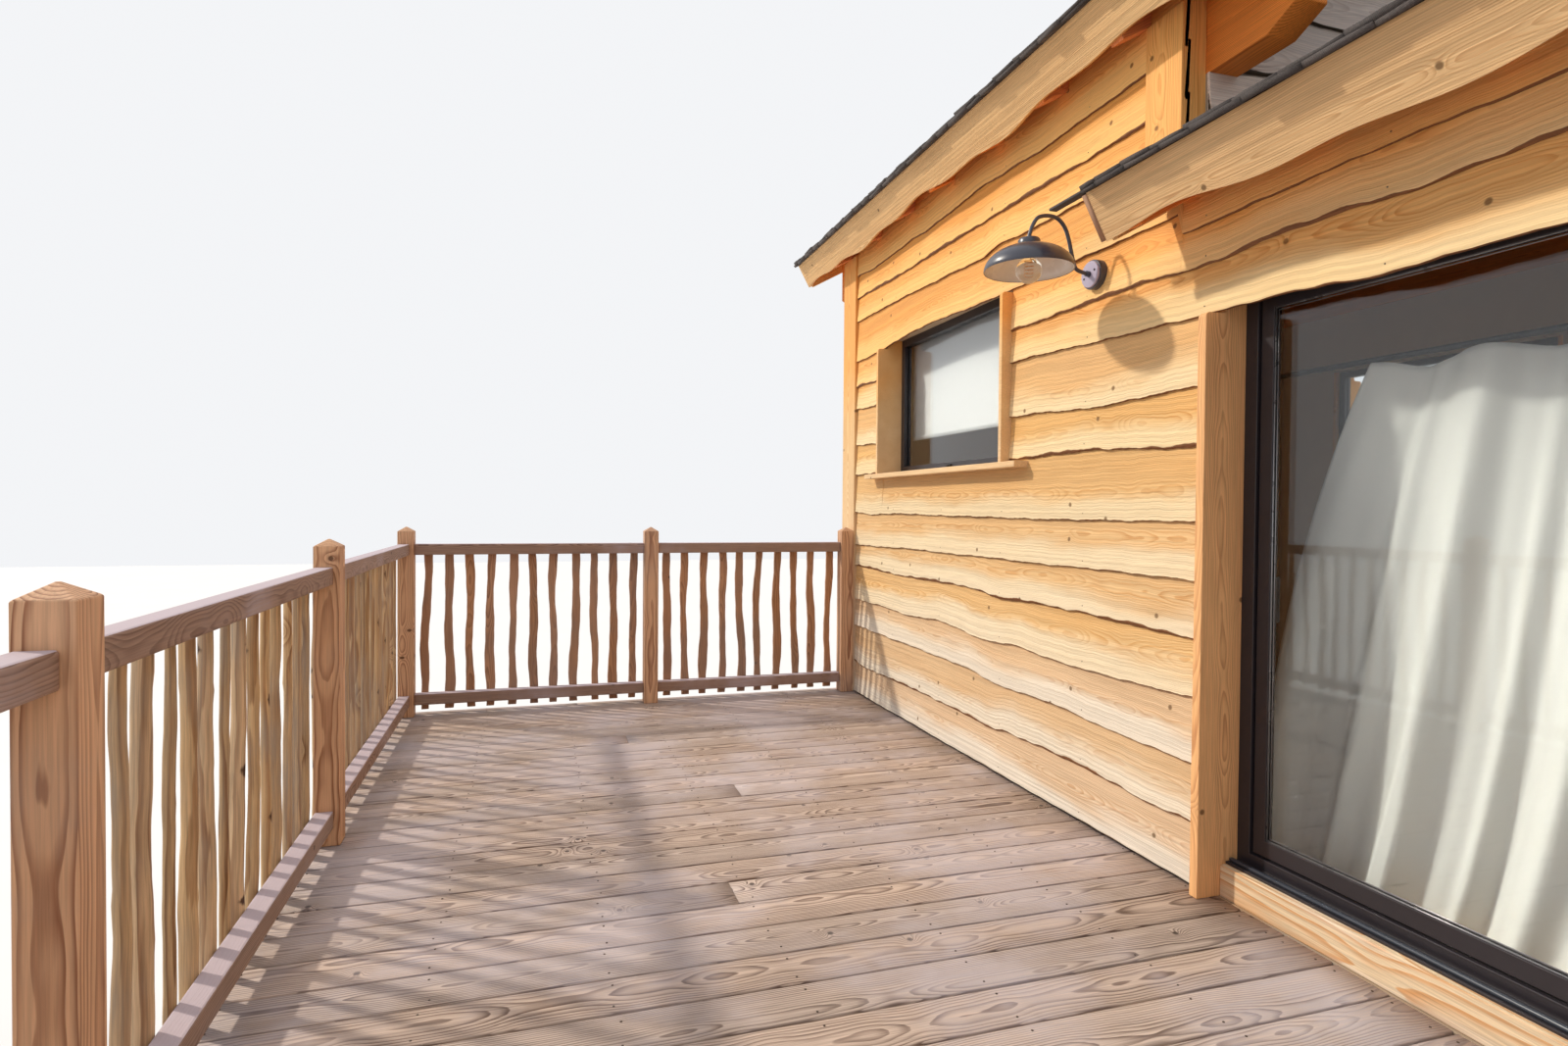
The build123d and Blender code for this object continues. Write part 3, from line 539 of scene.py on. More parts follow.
def weavePaint(name, colour, thread, rough=0.85, slub=0.10, deep=0.00025, through=0.0):
    # plain weave from two crossed sine waves on the cloth's own UV map, which is in metres
    paint, tree, skin = newPaint(name, rough)
    cloth = addNode(tree, "UVMap", uv_map="cloth").outputs[0]
    turns = 2.0 * math.pi / thread
    warp, weft = [calc(tree, "SINE", calc(tree, "MULTIPLY", axis, turns)) for axis in split(tree, cloth)[:2]]
    weave = calc(tree, "MULTIPLY", warp, weft)
    slubs = cloud(tree, stretched(tree, cloth, 260.0, 14.0, 1.0), 1.0, 2.0)
    slubsAcross = cloud(tree, stretched(tree, cloth, 14.0, 260.0, 1.0), 1.0, 2.0)
    thick = calc(tree, "MULTIPLY", calc(tree, "ADD", slubs, slubsAcross), 0.5)
    tone = calc(tree, "MULTIPLY_ADD", calc(tree, "SUBTRACT", thick, 0.5), slub * 4.0, 0.5)
    low = tint(*[value * (1.0 - slub) for value in colour])
    tree.links.new(blendColour(tree, tone, low, tint(*colour)), skin.inputs["Base Color"])
    relief(tree, skin, calc(tree, "MULTIPLY_ADD", weave, 0.5, thick), deep)
    skin.inputs["Sheen Weight"].default_value = 0.15
    skin.inputs["Specular IOR Level"].default_value = 0.2
    if through:
        # loosely woven: part of the light passes on through the cloth
        glow = addNode(tree, "BsdfTranslucent", {"Color": tint(*colour)})
        mix = addNode(tree, "MixShader", {0: through, 1: skin.outputs[0], 2: glow.outputs[0]})
        tree.links.new(mix.outputs[0], tree.nodes["Material Output"].inputs["Surface"])
    return paint


heightTintWithEaveShade = [  # how the wall's colour shifts with the height above the deck: (metres, factors). Low down it is paler and bluer, as bleached wood; from about 2.1 m it turns darker and more orange, partly the wood's own tone under the eaves and partly painted shade and warm bounce light
    (0.0, (0.90, 1.02, 1.34)), (0.5, (0.92, 1.02, 1.28)), (1.0, (0.96, 1.0, 1.08)),
    (1.7, (0.96, 0.95, 0.90)), (2.1, (0.98, 0.91, 0.76)), (2.45, (1.08, 0.77, 0.40)),
    (3.2, (1.02, 0.74, 0.38)),
]
paints = {
    "cladding": timber("larch cladding", (238, 194, 134), (214, 156, 92), ring=0.0055, tone=0.045,
                       rind=(246, 224, 182), deep=0.0011, heightTintWithShade=heightTintWithEaveShade, saw=0.9, knots=0.7, fibre=0.10,
                       barkColour=(150, 98, 60)),
    "post": timber("larch posts", (242, 206, 156), (212, 160, 104), ring=0.005, tone=0.04, heightTintWithShade=heightTintWithEaveShade),
    "doorBoard": timber("door boards", (242, 182, 114), (202, 134, 74), ring=0.0055, tone=0.05, knots=1.3),
    "sill": timber("door sill beam", (232, 210, 176), (206, 138, 70), ring=0.014, pith=0.05, tone=0.0,
                   knots=1.8, sap=(228, 210, 188), knotAt=(0.64, 0.0), knotSize=0.05, deep=0.0012,
                   fibre=0.22),
    "fascia": timber("larch fascia", (234, 192, 133), (202, 148, 88), ring=0.006, tone=0.04, saw=0.9,
                     deep=0.0009),
    "soffit": timber("roof timber", (246, 154, 84), (196, 106, 52), ring=0.006, tone=0.10),
    "deck": timber("deck boards", (197, 175, 158), (86, 60, 46), ring=0.0076, pith=0.12, tone=0.09,
                   grey=(194, 184, 188), greyFrom=0.51, rough=0.72, deep=0.0014, fibre=0.26, knots=1.7),
    "rail": timber("rail timber", (164, 134, 116), (112, 82, 66), ring=0.0045, tone=0.06,
                   grey=(190, 176, 182), greyFrom=0.62, rough=0.72, topGrey=0.9),
    "railPost": timber("rail posts", (220, 172, 130), (140, 84, 50), ring=0.0085, pith=0.06, tone=0.05,
                       grey=(176, 154, 142), greyFrom=0.64),
    "branch": timber("peeled branches", (206, 172, 130), (144, 102, 66), ring=0.011, pith=0.02,
                     tone=0.14, knots=1.8, grey=(164, 150, 136), greyFrom=0.53, deep=0.0014, fibre=0.30,
                     barkColour=(92, 60, 40)),
    "plank": timber("railing slats", (188, 140, 104), (130, 90, 64), ring=0.006, tone=0.10, knots=1.2,
                    grey=(140, 120, 108), greyFrom=0.52),
    "rough": timber("rough structure", (176, 146, 112), (128, 98, 70), ring=0.006, tone=0.08,
                    grey=(146, 138, 126), greyFrom=0.5),
    "floor": timber("floor boards", (206, 170, 126), (170, 128, 84), ring=0.006, tone=0.06, rough=0.45),
    # the step gable's boards: partly weathered grey, and painted far paler than the other cladding to stand
    # in for the sky and bounce light that reach them in the shade under the tall roof
    "gableBoardWithPaintedBounce": timber("gable boards with painted bounce light", (248, 234, 220), (216, 196, 180), ring=0.006, tone=0.08,
                        grey=(222, 212, 204), greyFrom=0.55, barkColour=(84, 70, 54), saw=0.8),
    "shake": timber("split shakes", (96, 88, 84), (48, 44, 42), ring=0.004, pith=0.2, tone=0.24, knots=0,
                    grey=(92, 88, 88), greyFrom=0.5, rough=0.85, deep=0.0018, fibre=0.45),
    "dark": plainPaint("anthracite frame", (44, 40, 44), 0.34, spread=0.05, deep=0.00003),
    "seal": plainPaint("black seal", (18, 18, 19), 0.6),
    "bead": plainPaint("bright glazing bead", (150, 150, 152), 0.3, metal=0.6),
    # the drip bar is dark; its blue-grey tint is a painted sky reflection on its rounded top
    "dripBar": plainPaint("drip bar with painted sky reflection", (52, 58, 68), 0.32, spread=0.04),
    "steel": plainPaint("galvanised plate", (150, 152, 154), 0.42, metal=0.9, spread=0.14, scale=26.0),
    "blackSteel": plainPaint("black rod", (24, 24, 25), 0.4, metal=0.3),
    "enamel": plainPaint("grey-blue enamel", (60, 62, 74), 0.34, spread=0.04, coat=0.3),
    "enamelPlate": plainPaint("lamp plate enamel", (176, 166, 186), 0.38, spread=0.03, coat=0.2),
    "enamelWhite": plainPaint("white enamel", (226, 214, 202), 0.28, spread=0.02, coat=0.4),
    "brass": plainPaint("lamp holder", (120, 88, 50), 0.35, metal=0.9),
    "filament": plainPaint("amber filament", (214, 150, 70), 0.4, metal=0.5),
    "nail": plainPaint("nail heads", (78, 64, 54), 0.5, metal=0.3, spread=0.2),
    "lining": plainPaint("pale wall lining", (208, 188, 160), 0.8, spread=0.03, scale=8.0),
    "glass": paneGlass("window glass", (244, 248, 249), 0.02),
    "bulb": paneGlass("bulb glass", (252, 246, 232), 0.02),
    "blind": weavePaint("blind cloth", (212, 210, 210), 0.0012, slub=0.04),
    "linen": weavePaint("linen", (250, 248, 244), 0.0016, slub=0.10, through=0.4),
}
print("materials made")


# Camera, floor and light

shot = {  # where the eye stands from the wall, the step and the deck, and how it looks
    "fromWall": -2.302, "fromStep": -2.510, "up": 1.35, "yaw": math.radians(16.77),
    "pitch": math.radians(-1.0), "roll": math.radians(0.45), "lensPixels": 845.0, "wide": 1600.0,
}


def makeCamera():
    # the eye looks along yaw and pitch, and its right and upward ways are turned by the roll
    yaw, pitch, roll = shot["yaw"], shot["pitch"], shot["roll"]
    ahead = Vector((math.sin(yaw) * math.cos(pitch), math.cos(yaw) * math.cos(pitch), math.sin(pitch)))
    level = Vector((math.cos(yaw), -math.sin(yaw), 0.0))
    upright = level.cross(ahead)
    right = level * math.cos(roll) + upright * math.sin(roll)
    top = upright * math.cos(roll) - level * math.sin(roll)
    lens = bpy.data.cameras.new("camera")
    lens.sensor_width = 36.0
    lens.lens = shot["lensPixels"] * lens.sensor_width / shot["wide"]
    camera = bpy.data.objects.new("camera", lens)
    scene.collection.objects.link(camera)
    turned = Matrix((right, top, -ahead)).transposed().to_4x4()
    spot = Vector((wallX + shot["fromWall"], stepY + shot["fromStep"], deckZ + shot["up"]))
    camera.matrix_world = Matrix.Translation(spot) @ turned
    scene.camera = camera


light = {  # low sun from the far left, and a pale sky that dims towards the horizon
    "sunWay": (0.305, -0.207, -0.270), "sunPower": 2.6, "sunSoft": math.radians(2.5),
    "sunColour": (1.0, 0.92, 0.80), "skyLow": 0.42, "skyHigh": 1.02, "skyColour": (0.94, 0.95, 1.0),
    "backColour": (0.90, 0.91, 0.93), "floorSize": 120.0,
}


def makeStage():
    # a sun, a sky whose strength eases with height and that shows pale to the eye, and a pale floor
    sun = bpy.data.lights.new("sun", "SUN")
    sun.energy = light["sunPower"]
    sun.angle = light["sunSoft"]
    sun.color = light["sunColour"]
    lamp = bpy.data.objects.new("sun", sun)
    lamp.rotation_mode = "QUATERNION"
    lamp.rotation_quaternion = Vector(light["sunWay"]).to_track_quat("-Z", "Y")
    scene.collection.objects.link(lamp)
    world = bpy.data.worlds.new("sky")
    world.use_nodes = True
    scene.world = world
    tree = world.node_tree
    glow = tree.nodes["Background"]
    glow.inputs["Color"].default_value = (*light["skyColour"], 1.0)
    up = split(tree, addNode(tree, "TexCoord").outputs["Generated"])[2]
    tree.links.new(between(tree, up, -0.05, 0.75, light["skyLow"], light["skyHigh"]),
                   glow.inputs["Strength"])
    back = addNode(tree, "Background", {"Color": (*light["backColour"], 1.0), "Strength": 1.0})
    rays = addNode(tree, "LightPath")
    seen = calc(tree, "MAXIMUM", rays.outputs["Is Camera Ray"],
                calc(tree, "MAXIMUM", rays.outputs["Is Glossy Ray"], rays.outputs["Is Transmission Ray"]))
    mix = addNode(tree, "MixShader", {0: seen, 1: glow.outputs[0], 2: back.outputs[0]})
    tree.links.new(mix.outputs[0], tree.nodes["World Output"].inputs["Surface"])
    half = light["floorSize"] / 2.0
    across, along = grid(2, 2)
    spots = stack((across - 0.5) * 2 * half, (along - 0.5) * 2 * half, 0.0)
    mesh = meshFrom("floor", spots, [np.array([[0, 2, 3, 1]])])
    mesh.materials.append(plainPaint("pale floor", (226, 225, 222), 0.9, spread=0.01, scale=1.0))
    ground = bpy.data.objects.new("floor", mesh)
    scene.collection.objects.link(ground)


makeCamera()
makeStage()
print("camera, floor and light made")


# Deck boards with nails

deck = {
    "pitch": 0.1706, "gap": 0.008, "gapLine": -0.461, "thick": 0.028, "round": 0.004, "stations": 14,
    "cup": 0.0007, "sink": 0.0008, "wander": [(2.3, 0.0006), (0.9, 0.0003)],
    "buttEvery": 6, "buttAt": (0.3, 0.7), "buttGap": 0.002,
    "nailAcross": 0.008, "nailIn": 0.028, "nailStray": (0.006, 0.003), "nailProud": 0.0006,
}


def roundedOutline(wide, thick, soft, steps=3):
    # a rectangle with quarter-round corners; returns its across and up coordinates
    turn = np.linspace(0.0, np.pi / 2, steps)
    corners = [(wide / 2 - soft, -soft, 0.0), (wide / 2 - soft, -thick + soft, -np.pi / 2),
               (-wide / 2 + soft, -thick + soft, np.pi), (-wide / 2 + soft, -soft, np.pi / 2)]
    across = np.concatenate([x + soft * np.cos(start + turn) for x, _, start in corners])
    up = np.concatenate([z + soft * np.sin(start + turn) for _, z, start in corners])
    order = np.argsort(np.arctan2(up + thick / 2, across), kind="stable")
    return across[order], up[order]


def makeDeck():
    # a board is its rounded outline carried along x. It swings by a sum of sines, and its top is
    # hollowed by 1 minus the square of how far across a point lies. Every sixth board is two pieces.
    low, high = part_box("deck_boards")
    gap, slack = deck["gap"], deck["buttGap"] / 2
    lines = stepY + deck["gapLine"] + deck["pitch"] * np.arange(-60, 60)
    lines = lines[(lines > low.y + 0.02) & (lines < high.y - 0.02)]
    edges = np.concatenate([[low.y - gap / 2], lines, [high.y + gap / 2]])
    y0, y1 = edges[:-1] + gap / 2, edges[1:] - gap / 2
    count = len(y0)
    nearest, furthest = deck["buttAt"]
    butt = low.x + (high.x - low.x) * (nearest + (furthest - nearest) * dice.random(count))
    split = np.arange(count) % deck["buttEvery"] == 0
    board = np.concatenate([np.arange(count), np.flatnonzero(split)])[:, None, None]
    begin = np.concatenate([np.full(count, low.x), butt[split] + slack])[:, None, None]
    end = np.concatenate([np.where(split, butt - slack, high.x - slack),
                          np.full(split.sum(), high.x - slack)])[:, None, None]
    middle, wide = ((y0 + y1) / 2)[board], (y1 - y0)[board]
    seed = dice.random((len(board), 1, 1))
    share = np.linspace(0.0, 1.0, deck["stations"])[None, :, None]
    across, up = [values[None, None, :] for values in roundedOutline(1.0, deck["thick"], deck["round"])]
    sign = np.clip(across / (0.5 - deck["round"]), -1, 1)
    side = sign * 0.5 * wide + across - np.sign(across) * 0.5
    x = begin + (end - begin) * share
    bend = waves(x, seed * 9, deck["wander"])
    drop = -deck["cup"] * (1 - sign ** 2) * (0.4 + seed) + bend * 0.4 - deck["sink"]
    rings = stack(x, middle + side + bend, high.z + up + drop)
    skins("deck_planks", rings, "deck", "deck_timber", ("deck_boards",),
          grain=stack(x - begin, side, up), seed=seed)

    joistLow, joistHigh = solidBoxes("deck_joists")
    joists = np.sort((joistLow[:, 0] + joistHigh[:, 0]) / 2)
    nailX, nailY = np.meshgrid(joists, np.concatenate([y0 + deck["nailIn"], y1 - deck["nailIn"]]))
    nailX = nailX + dice.normal(0, deck["nailStray"][0], nailX.shape)
    nailY = nailY + dice.normal(0, deck["nailStray"][1], nailY.shape)
    heads("deck_nails", stack(nailX.ravel(), nailY.ravel(), high.z - 0.0002), (0, 0, 1),
          deck["nailAcross"], deck["nailProud"])


def heads(name, spots, out, across, proud):
    # flat round heads: each is a short tube of two rings, the outer one a little smaller
    out = np.array(out, dtype=float)
    side = np.cross(out, [0.31, 0.52, 0.79])
    side /= np.linalg.norm(side)
    other = np.cross(out, side)
    turn = circle(8)[None, None, :, None]
    size = np.array([1.0, 0.8])[None, :, None, None] * across / 2
    lift = np.array([-0.002, proud])[None, :, None, None]
    rings = spots[:, None, None, :] + size * (np.cos(turn) * side + np.sin(turn) * other) + lift * out
    skins(name, rings, "nail", "galvanised_steel")


makeDeck()
print("deck made")


# Cladding: lapped boards with a natural lower edge

clad = {
    "rise": 0.228, "thick": 0.013, "proud": 0.028, "lap": 0.030, "station": 0.034, "clear": 0.002,
    "wave": [(2.1, 0.010), (0.97, 0.007), (0.41, 0.003)],
    "ragged": [(0.29, 0.0016), (0.11, 0.0011), (0.043, 0.0006)],
    "warp": [(0.83, 0.0014), (0.27, 0.0007)],
    "fade": 0.7, "rowSpread": 0.016, "least": 0.03, "hang": 0.05, "barkLow": 0.004, "barkHigh": 0.012,
    "aboveDeck": 0.004, "aboveLowRoof": 0.03, "postIn": 0.071,
    "windowTrim": 0.028, "sillDrop": 0.031, "headLap": 0.055, "doorHead": 2.045,
    "nailUp": 0.032, "nailEvery": 0.66, "nailFrom": -0.035, "nailIn": 0.03, "nailAcross": 0.006,
    "nailProud": 0.0008,
}

# Lower edge of each board beside the deck, in mm: (beyond the step, above the deck)
deckRows = [
    [(0, 4)],
    [(-89, 226), (119, 223), (560, 236), (827, 239), (1076, 235), (1323, 212), (1639, 223), (1960, 226),
     (2325, 219)],
    [(-84, 440), (330, 446), (756, 463), (1233, 455), (1536, 482), (1882, 485), (2283, 492)],
    [(-87, 677), (164, 669), (760, 665), (1086, 680), (1334, 666), (1887, 696), (2336, 678), (2757, 687)],
    [(-82, 886), (206, 895), (621, 907), (977, 907), (1150, 896), (1582, 926), (2342, 919), (3123, 932)],
    [(-85, 1102), (1311, 1100), (2298, 1099), (3127, 1087)],
    [(-81, 1314), (630, 1308), (1349, 1312), (2502, 1320)],
    [(-82, 1582), (534, 1608), (1000, 1600)],
    [(-84, 1798), (456, 1789), (1000, 1810)],
    [(-929, 2024), (-745, 2015), (-582, 2034), (-365, 2046), (-78, 2049), (127, 2054), (996, 2083)],
    [(-1189, 2236), (-828, 2225), (-603, 2237), (-376, 2238), (-137, 2222), (240, 2241), (1010, 2241)],
    [(-1187, 2371), (-743, 2379), (0, 2366), (10, 2446), (1439, 2449), (2009, 2471), (3176, 2430)],
    [(640, 2692), (971, 2695), (1269, 2710), (1444, 2685), (1841, 2701), (2430, 2718), (3176, 2725)],
    [(422, 2860), (910, 2868), (1661, 2877), (2557, 2878), (3161, 2894)],
    [(0, 3052)],
]


def plainRows(bottom, top):
    # rows of an even rise, a little uneven, where the photo shows none
    count = int(math.ceil((top - bottom) / clad["rise"]))
    spread = np.where(np.arange(count) > 0, dice.normal(0, clad["rowSpread"], count), 0.0)
    return [([0.0], [bottom + clad["rise"] * row + spread[row]]) for row in range(count)]


def edgeLine(rows, row, s, shift):
    # height of a board's lower edge along the wall: it eases from one known point to the next, and
    # wanders by itself beyond them
    spots, heights = [np.array(values, dtype=float) for values in rows[row]]
    turn = np.interp(s, spots, np.arange(len(spots)))
    first = np.minimum(turn.astype(int), max(len(spots) - 2, 0))
    part = turn - first
    ease = part * part * (3 - 2 * part)
    height = heights[first] + ease * (heights[np.minimum(first + 1, len(spots) - 1)] - heights[first])
    if row == 0:
        return height
    outside = np.clip(np.maximum(spots[0] - s, s - spots[-1]) / clad["fade"], 0, 1)
    return (height + outside * waves(s + shift, row * 1.7 + 0.3, clad["wave"])
            + waves(s + shift, row * 2.9, clad["ragged"]))


def nextLine(rows, row, s, shift, top):
    # the lower edge of the row above, or the wall's top over the last row
    return edgeLine(rows, row + 1, s, shift) if row + 1 < len(rows) else np.full(np.shape(s), top)


def cladWall(name, start, along, out, pieces, rows, top, paint, shift, leftOf=None):
    # each piece is (from, to, never below, never above, row). Points run along the wall, then round
    # the board: back, top, face, natural edge. A point's height is a share of the way from its row's
    # lower edge to the next row's. leftOf, mirrored at the ridge, bounds a gable at each height.
    begin, end, floor, ceiling, row = [np.array(values, dtype=float)[:, None, None]
                                       for values in zip(*pieces)]
    along, out, start = [np.array(values, dtype=float) for values in (along, out, start)]
    thick, proud = clad["thick"], clad["proud"]
    stations = int(max(12, round(float((end - begin).max()) / clad["station"])))
    share = np.linspace(0.0, 1.0, stations)[None, :, None]
    level = np.array([1.0, 1.0, 0.55, 0.0, 0.0, 0.0, 0.0, 0.25])[None, None, :]
    outAt = np.array([0.001, thick, 0.55 * thick + 0.45 * proud, proud, proud - 0.001, proud - 0.007,
                      proud - thick, 0.008])[None, None, :]
    barkUp = np.array([0, 0, 0, 1.0, 0.45, 0.0, 0.15, 0.0])[None, None, :]
    barkHere = np.array([0, 0, 0, 0.15, 1.0, 1.0, 1.0, 0.2])[None, None, :]
    s = begin + (end - begin) * share
    numbers = [int(piece[4]) for piece in pieces]
    low = np.stack([edgeLine(rows, number, spots, shift) for number, spots in zip(numbers, s)])
    high = np.stack([nextLine(rows, number, spots, shift, top) for number, spots in zip(numbers, s)])
    edge = np.maximum(low, floor)
    bark = clad["barkLow"] + (clad["barkHigh"] - clad["barkLow"]) * (row % 3 == 1)
    bark = bark * (1.0 + 0.5 * np.sin(s * 7.0 + row * 5.0) + 0.3 * np.sin(s * 37.0 + row))
    z = edge + level * (np.minimum(high + clad["lap"], ceiling) - edge)
    z = np.minimum(z + barkUp * bark, ceiling)
    if leftOf:
        s = np.clip(s, leftOf(z), 2 * ridgeX - leftOf(z))
    outBy = outAt + waves(s, row * 2.1, clad["warp"]) * (level < 0.9)
    rings = start + s[..., None] * along + outBy[..., None] * out
    rings[..., 2] = z
    grain = stack(s, z - low - clad["rise"] / 2, outBy - 0.01)
    skins(name, rings, paint, "cladding", degrees=6.0, grain=grain, rind=z - edge, bark=barkHere,
          seed=(np.sin(row * 12.9 + shift) * 43758.5) % 1.0)

    spots = []
    for a, b, bottom, roof, number in pieces:
        offset = clad["nailFrom"] + shift
        first = math.ceil((a + clad["nailIn"] - offset) / clad["nailEvery"])
        places = np.arange(first, first + 60) * clad["nailEvery"] + offset
        places = places[places < b - clad["nailIn"]]
        places = places + 0.006 * np.sin(places * 31.0 + number)
        up = edgeLine(rows, int(number), places, shift) + clad["nailUp"]
        shown = (up < roof) & (up > bottom)
        if leftOf:
            left = leftOf(up) + clad["nailIn"]
            shown &= (places > left) & (places < 2 * ridgeX - left)
        face = proud - 0.0016 + waves(places, number * 2.1, clad["warp"])
        spot = start + places[:, None] * along + face[:, None] * out
        spot[:, 2] = up
        spots.append(spot[shown])
    heads(name.replace("cladding", "nails"), np.concatenate(spots), out, clad["nailAcross"],
          clad["nailProud"])


def cutPieces(rows, top, spans, holes, shift):
    # splits each row of boards at the holes' sides; a hole is (from, to, sill, head), and a board
    # may hang a little over its head
    pieces = []
    for row in range(len(rows)):
        for begin, end, spanTop in spans:
            stops = {begin, end}
            for hole in holes:
                stops.update(stop for stop in hole[:2] if begin < stop < end)
            stops = sorted(stops)
            for a, b in zip(stops[:-1], stops[1:]):
                middle = np.array([(a + b) / 2])
                low = edgeLine(rows, row, middle, shift)[0]
                high = nextLine(rows, row, middle, shift, top)[0]
                bottom, ceiling = -1e3, min(top, spanTop)
                gone = low > ceiling - clad["least"]
                for hole in holes:
                    beside = not hole[0] <= middle[0] <= hole[1]
                    if beside or low >= hole[3] - clad["hang"] or high <= hole[2]:
                        continue
                    if low >= hole[2] - clad["least"] and high <= hole[3] + clad["hang"]:
                        gone = True
                    elif low < hole[2]:
                        ceiling = min(ceiling, hole[2])
                    else:
                        bottom = hole[3]
                if not gone and ceiling - max(low, bottom) >= clad["least"]:
                    pieces.append((a, b, bottom, ceiling, row))
    return joined(pieces)


def joined(pieces):
    # neighbours in a row that came out with the same limits become one board again
    kept = []
    for piece in pieces:
        last = kept[-1] if kept else None
        if last and last[1] == piece[0] and last[2:] == piece[2:]:
            kept[-1] = (last[0], *piece[1:])
        else:
            kept.append(piece)
    return kept


def holesOn(side):
    # the window holes on one face, widened by their side boards; a board hangs over each head
    facing, wallAt = {"deck": (0, wallX), "back": (0, backX), "far": (1, farY), "near": (1, nearY)}[side]
    along, found = 1 - facing, []
    for low, high in zip(*solidBoxes("window_frames")):
        if abs((low[facing] + high[facing]) / 2 - wallAt) < 0.3:
            found.append((low[along] - clad["windowTrim"], high[along] + clad["windowTrim"],
                          low[2] - clad["sillDrop"], high[2] - clad["headLap"]))
    return found


def gableEdge(part):
    # the left half of a gable as x at each height: the corner post, and further up the roof's line
    def leftOf(z):
        reach = (z - slopeLine(wallX, part) + roofPlan["gableTopDrop"]) / math.tan(roofPlan["pitch"])
        return np.minimum(wallX + np.maximum(clad["postIn"], reach), ridgeX)
    return leftOf


def makeCladding():
    # the deck side follows the rows above; the back and the three gables have rows of an even rise
    tallTop = slopeLine(wallX, "tall") - roofPlan["boardTopDrop"]
    lowTop = slopeLine(wallX, "low") - roofPlan["boardTopDrop"]
    bottom = deckZ + clad["aboveDeck"]
    postLow, postHigh = solidBoxes("corner_posts")
    doorLow, doorHigh = solidBoxes("door_posts")
    farEdge = postLow[np.argmax(postLow[:, 1]), 1] - clad["clear"]
    nearEdge = postHigh[np.argmin(postHigh[:, 1]), 1] + clad["clear"]
    doorHole = (doorLow[:, 1].min() - clad["clear"], doorHigh[:, 1].max() + clad["clear"],
                deckZ - 0.1, deckZ + clad["doorHead"])
    spans = [(nearEdge, stepY, lowTop), (stepY, farEdge, tallTop)]

    rows = [[np.array(values) / 1000.0 + start for values, start in zip(zip(*row), (stepY, deckZ))]
            for row in deckRows]
    pieces = cutPieces(rows, tallTop, spans, [doorHole] + holesOn("deck"), 0.0)
    cladWall("cladding_deck_side", (wallX, 0, 0), (0, 1, 0), (-1, 0, 0), pieces, rows, tallTop,
             "cladding", 0.0)
    rows = plainRows(bottom, tallTop)
    pieces = cutPieces(rows, tallTop, spans, holesOn("back"), 5.0)
    cladWall("cladding_back_side", (backX, 0, 0), (0, 1, 0), (1, 0, 0), pieces, rows, tallTop,
             "cladding", 5.0)

    overLowRoof = slopeLine(wallX, "low") + clad["aboveLowRoof"]
    for name, y, way, part, foot, holes, shift, paint in (
            ("cladding_far_gable", farY, 1, "tall", bottom, holesOn("far"), 9.0, "cladding"),
            ("cladding_near_gable", nearY, -1, "low", bottom, holesOn("near"), -9.0, "cladding"),
            ("cladding_step_gable", stepY, -1, "tall", overLowRoof, [], 17.0, "gableBoardWithPaintedBounce")):
        peak = slopeLine(ridgeX, part) - roofPlan["gableTopDrop"]
        rows = plainRows(foot, peak)
        span = (wallX + clad["postIn"], backX - clad["postIn"], peak)
        pieces = cutPieces(rows, peak, [span], holes, shift)
        cladWall(name, (0, y, 0), (1, 0, 0), (0, way, 0), pieces, rows, peak, paint, shift,
                 gableEdge(part))


makeCladding()
print("cladding made")


# Split shakes on both roofs

shake = {
    "row": 0.19, "long": 0.42, "wide": (0.12, 0.21), "thick": 0.012, "overhang": 0.040, "gap": 0.004,
    "uneven": 0.014, "top": 0.039, "lift": (0.012, 0.001, 0.014), "eaveThick": 0.010, "lap": 0.086,
    "twist": 0.004, "warp": 0.002, "slip": 0.003, "secondUp": 0.012, "wallIn": 0.045, "ridgeShort": 0.05,
    "endShort": 0.02, "thinning": 0.55,
}


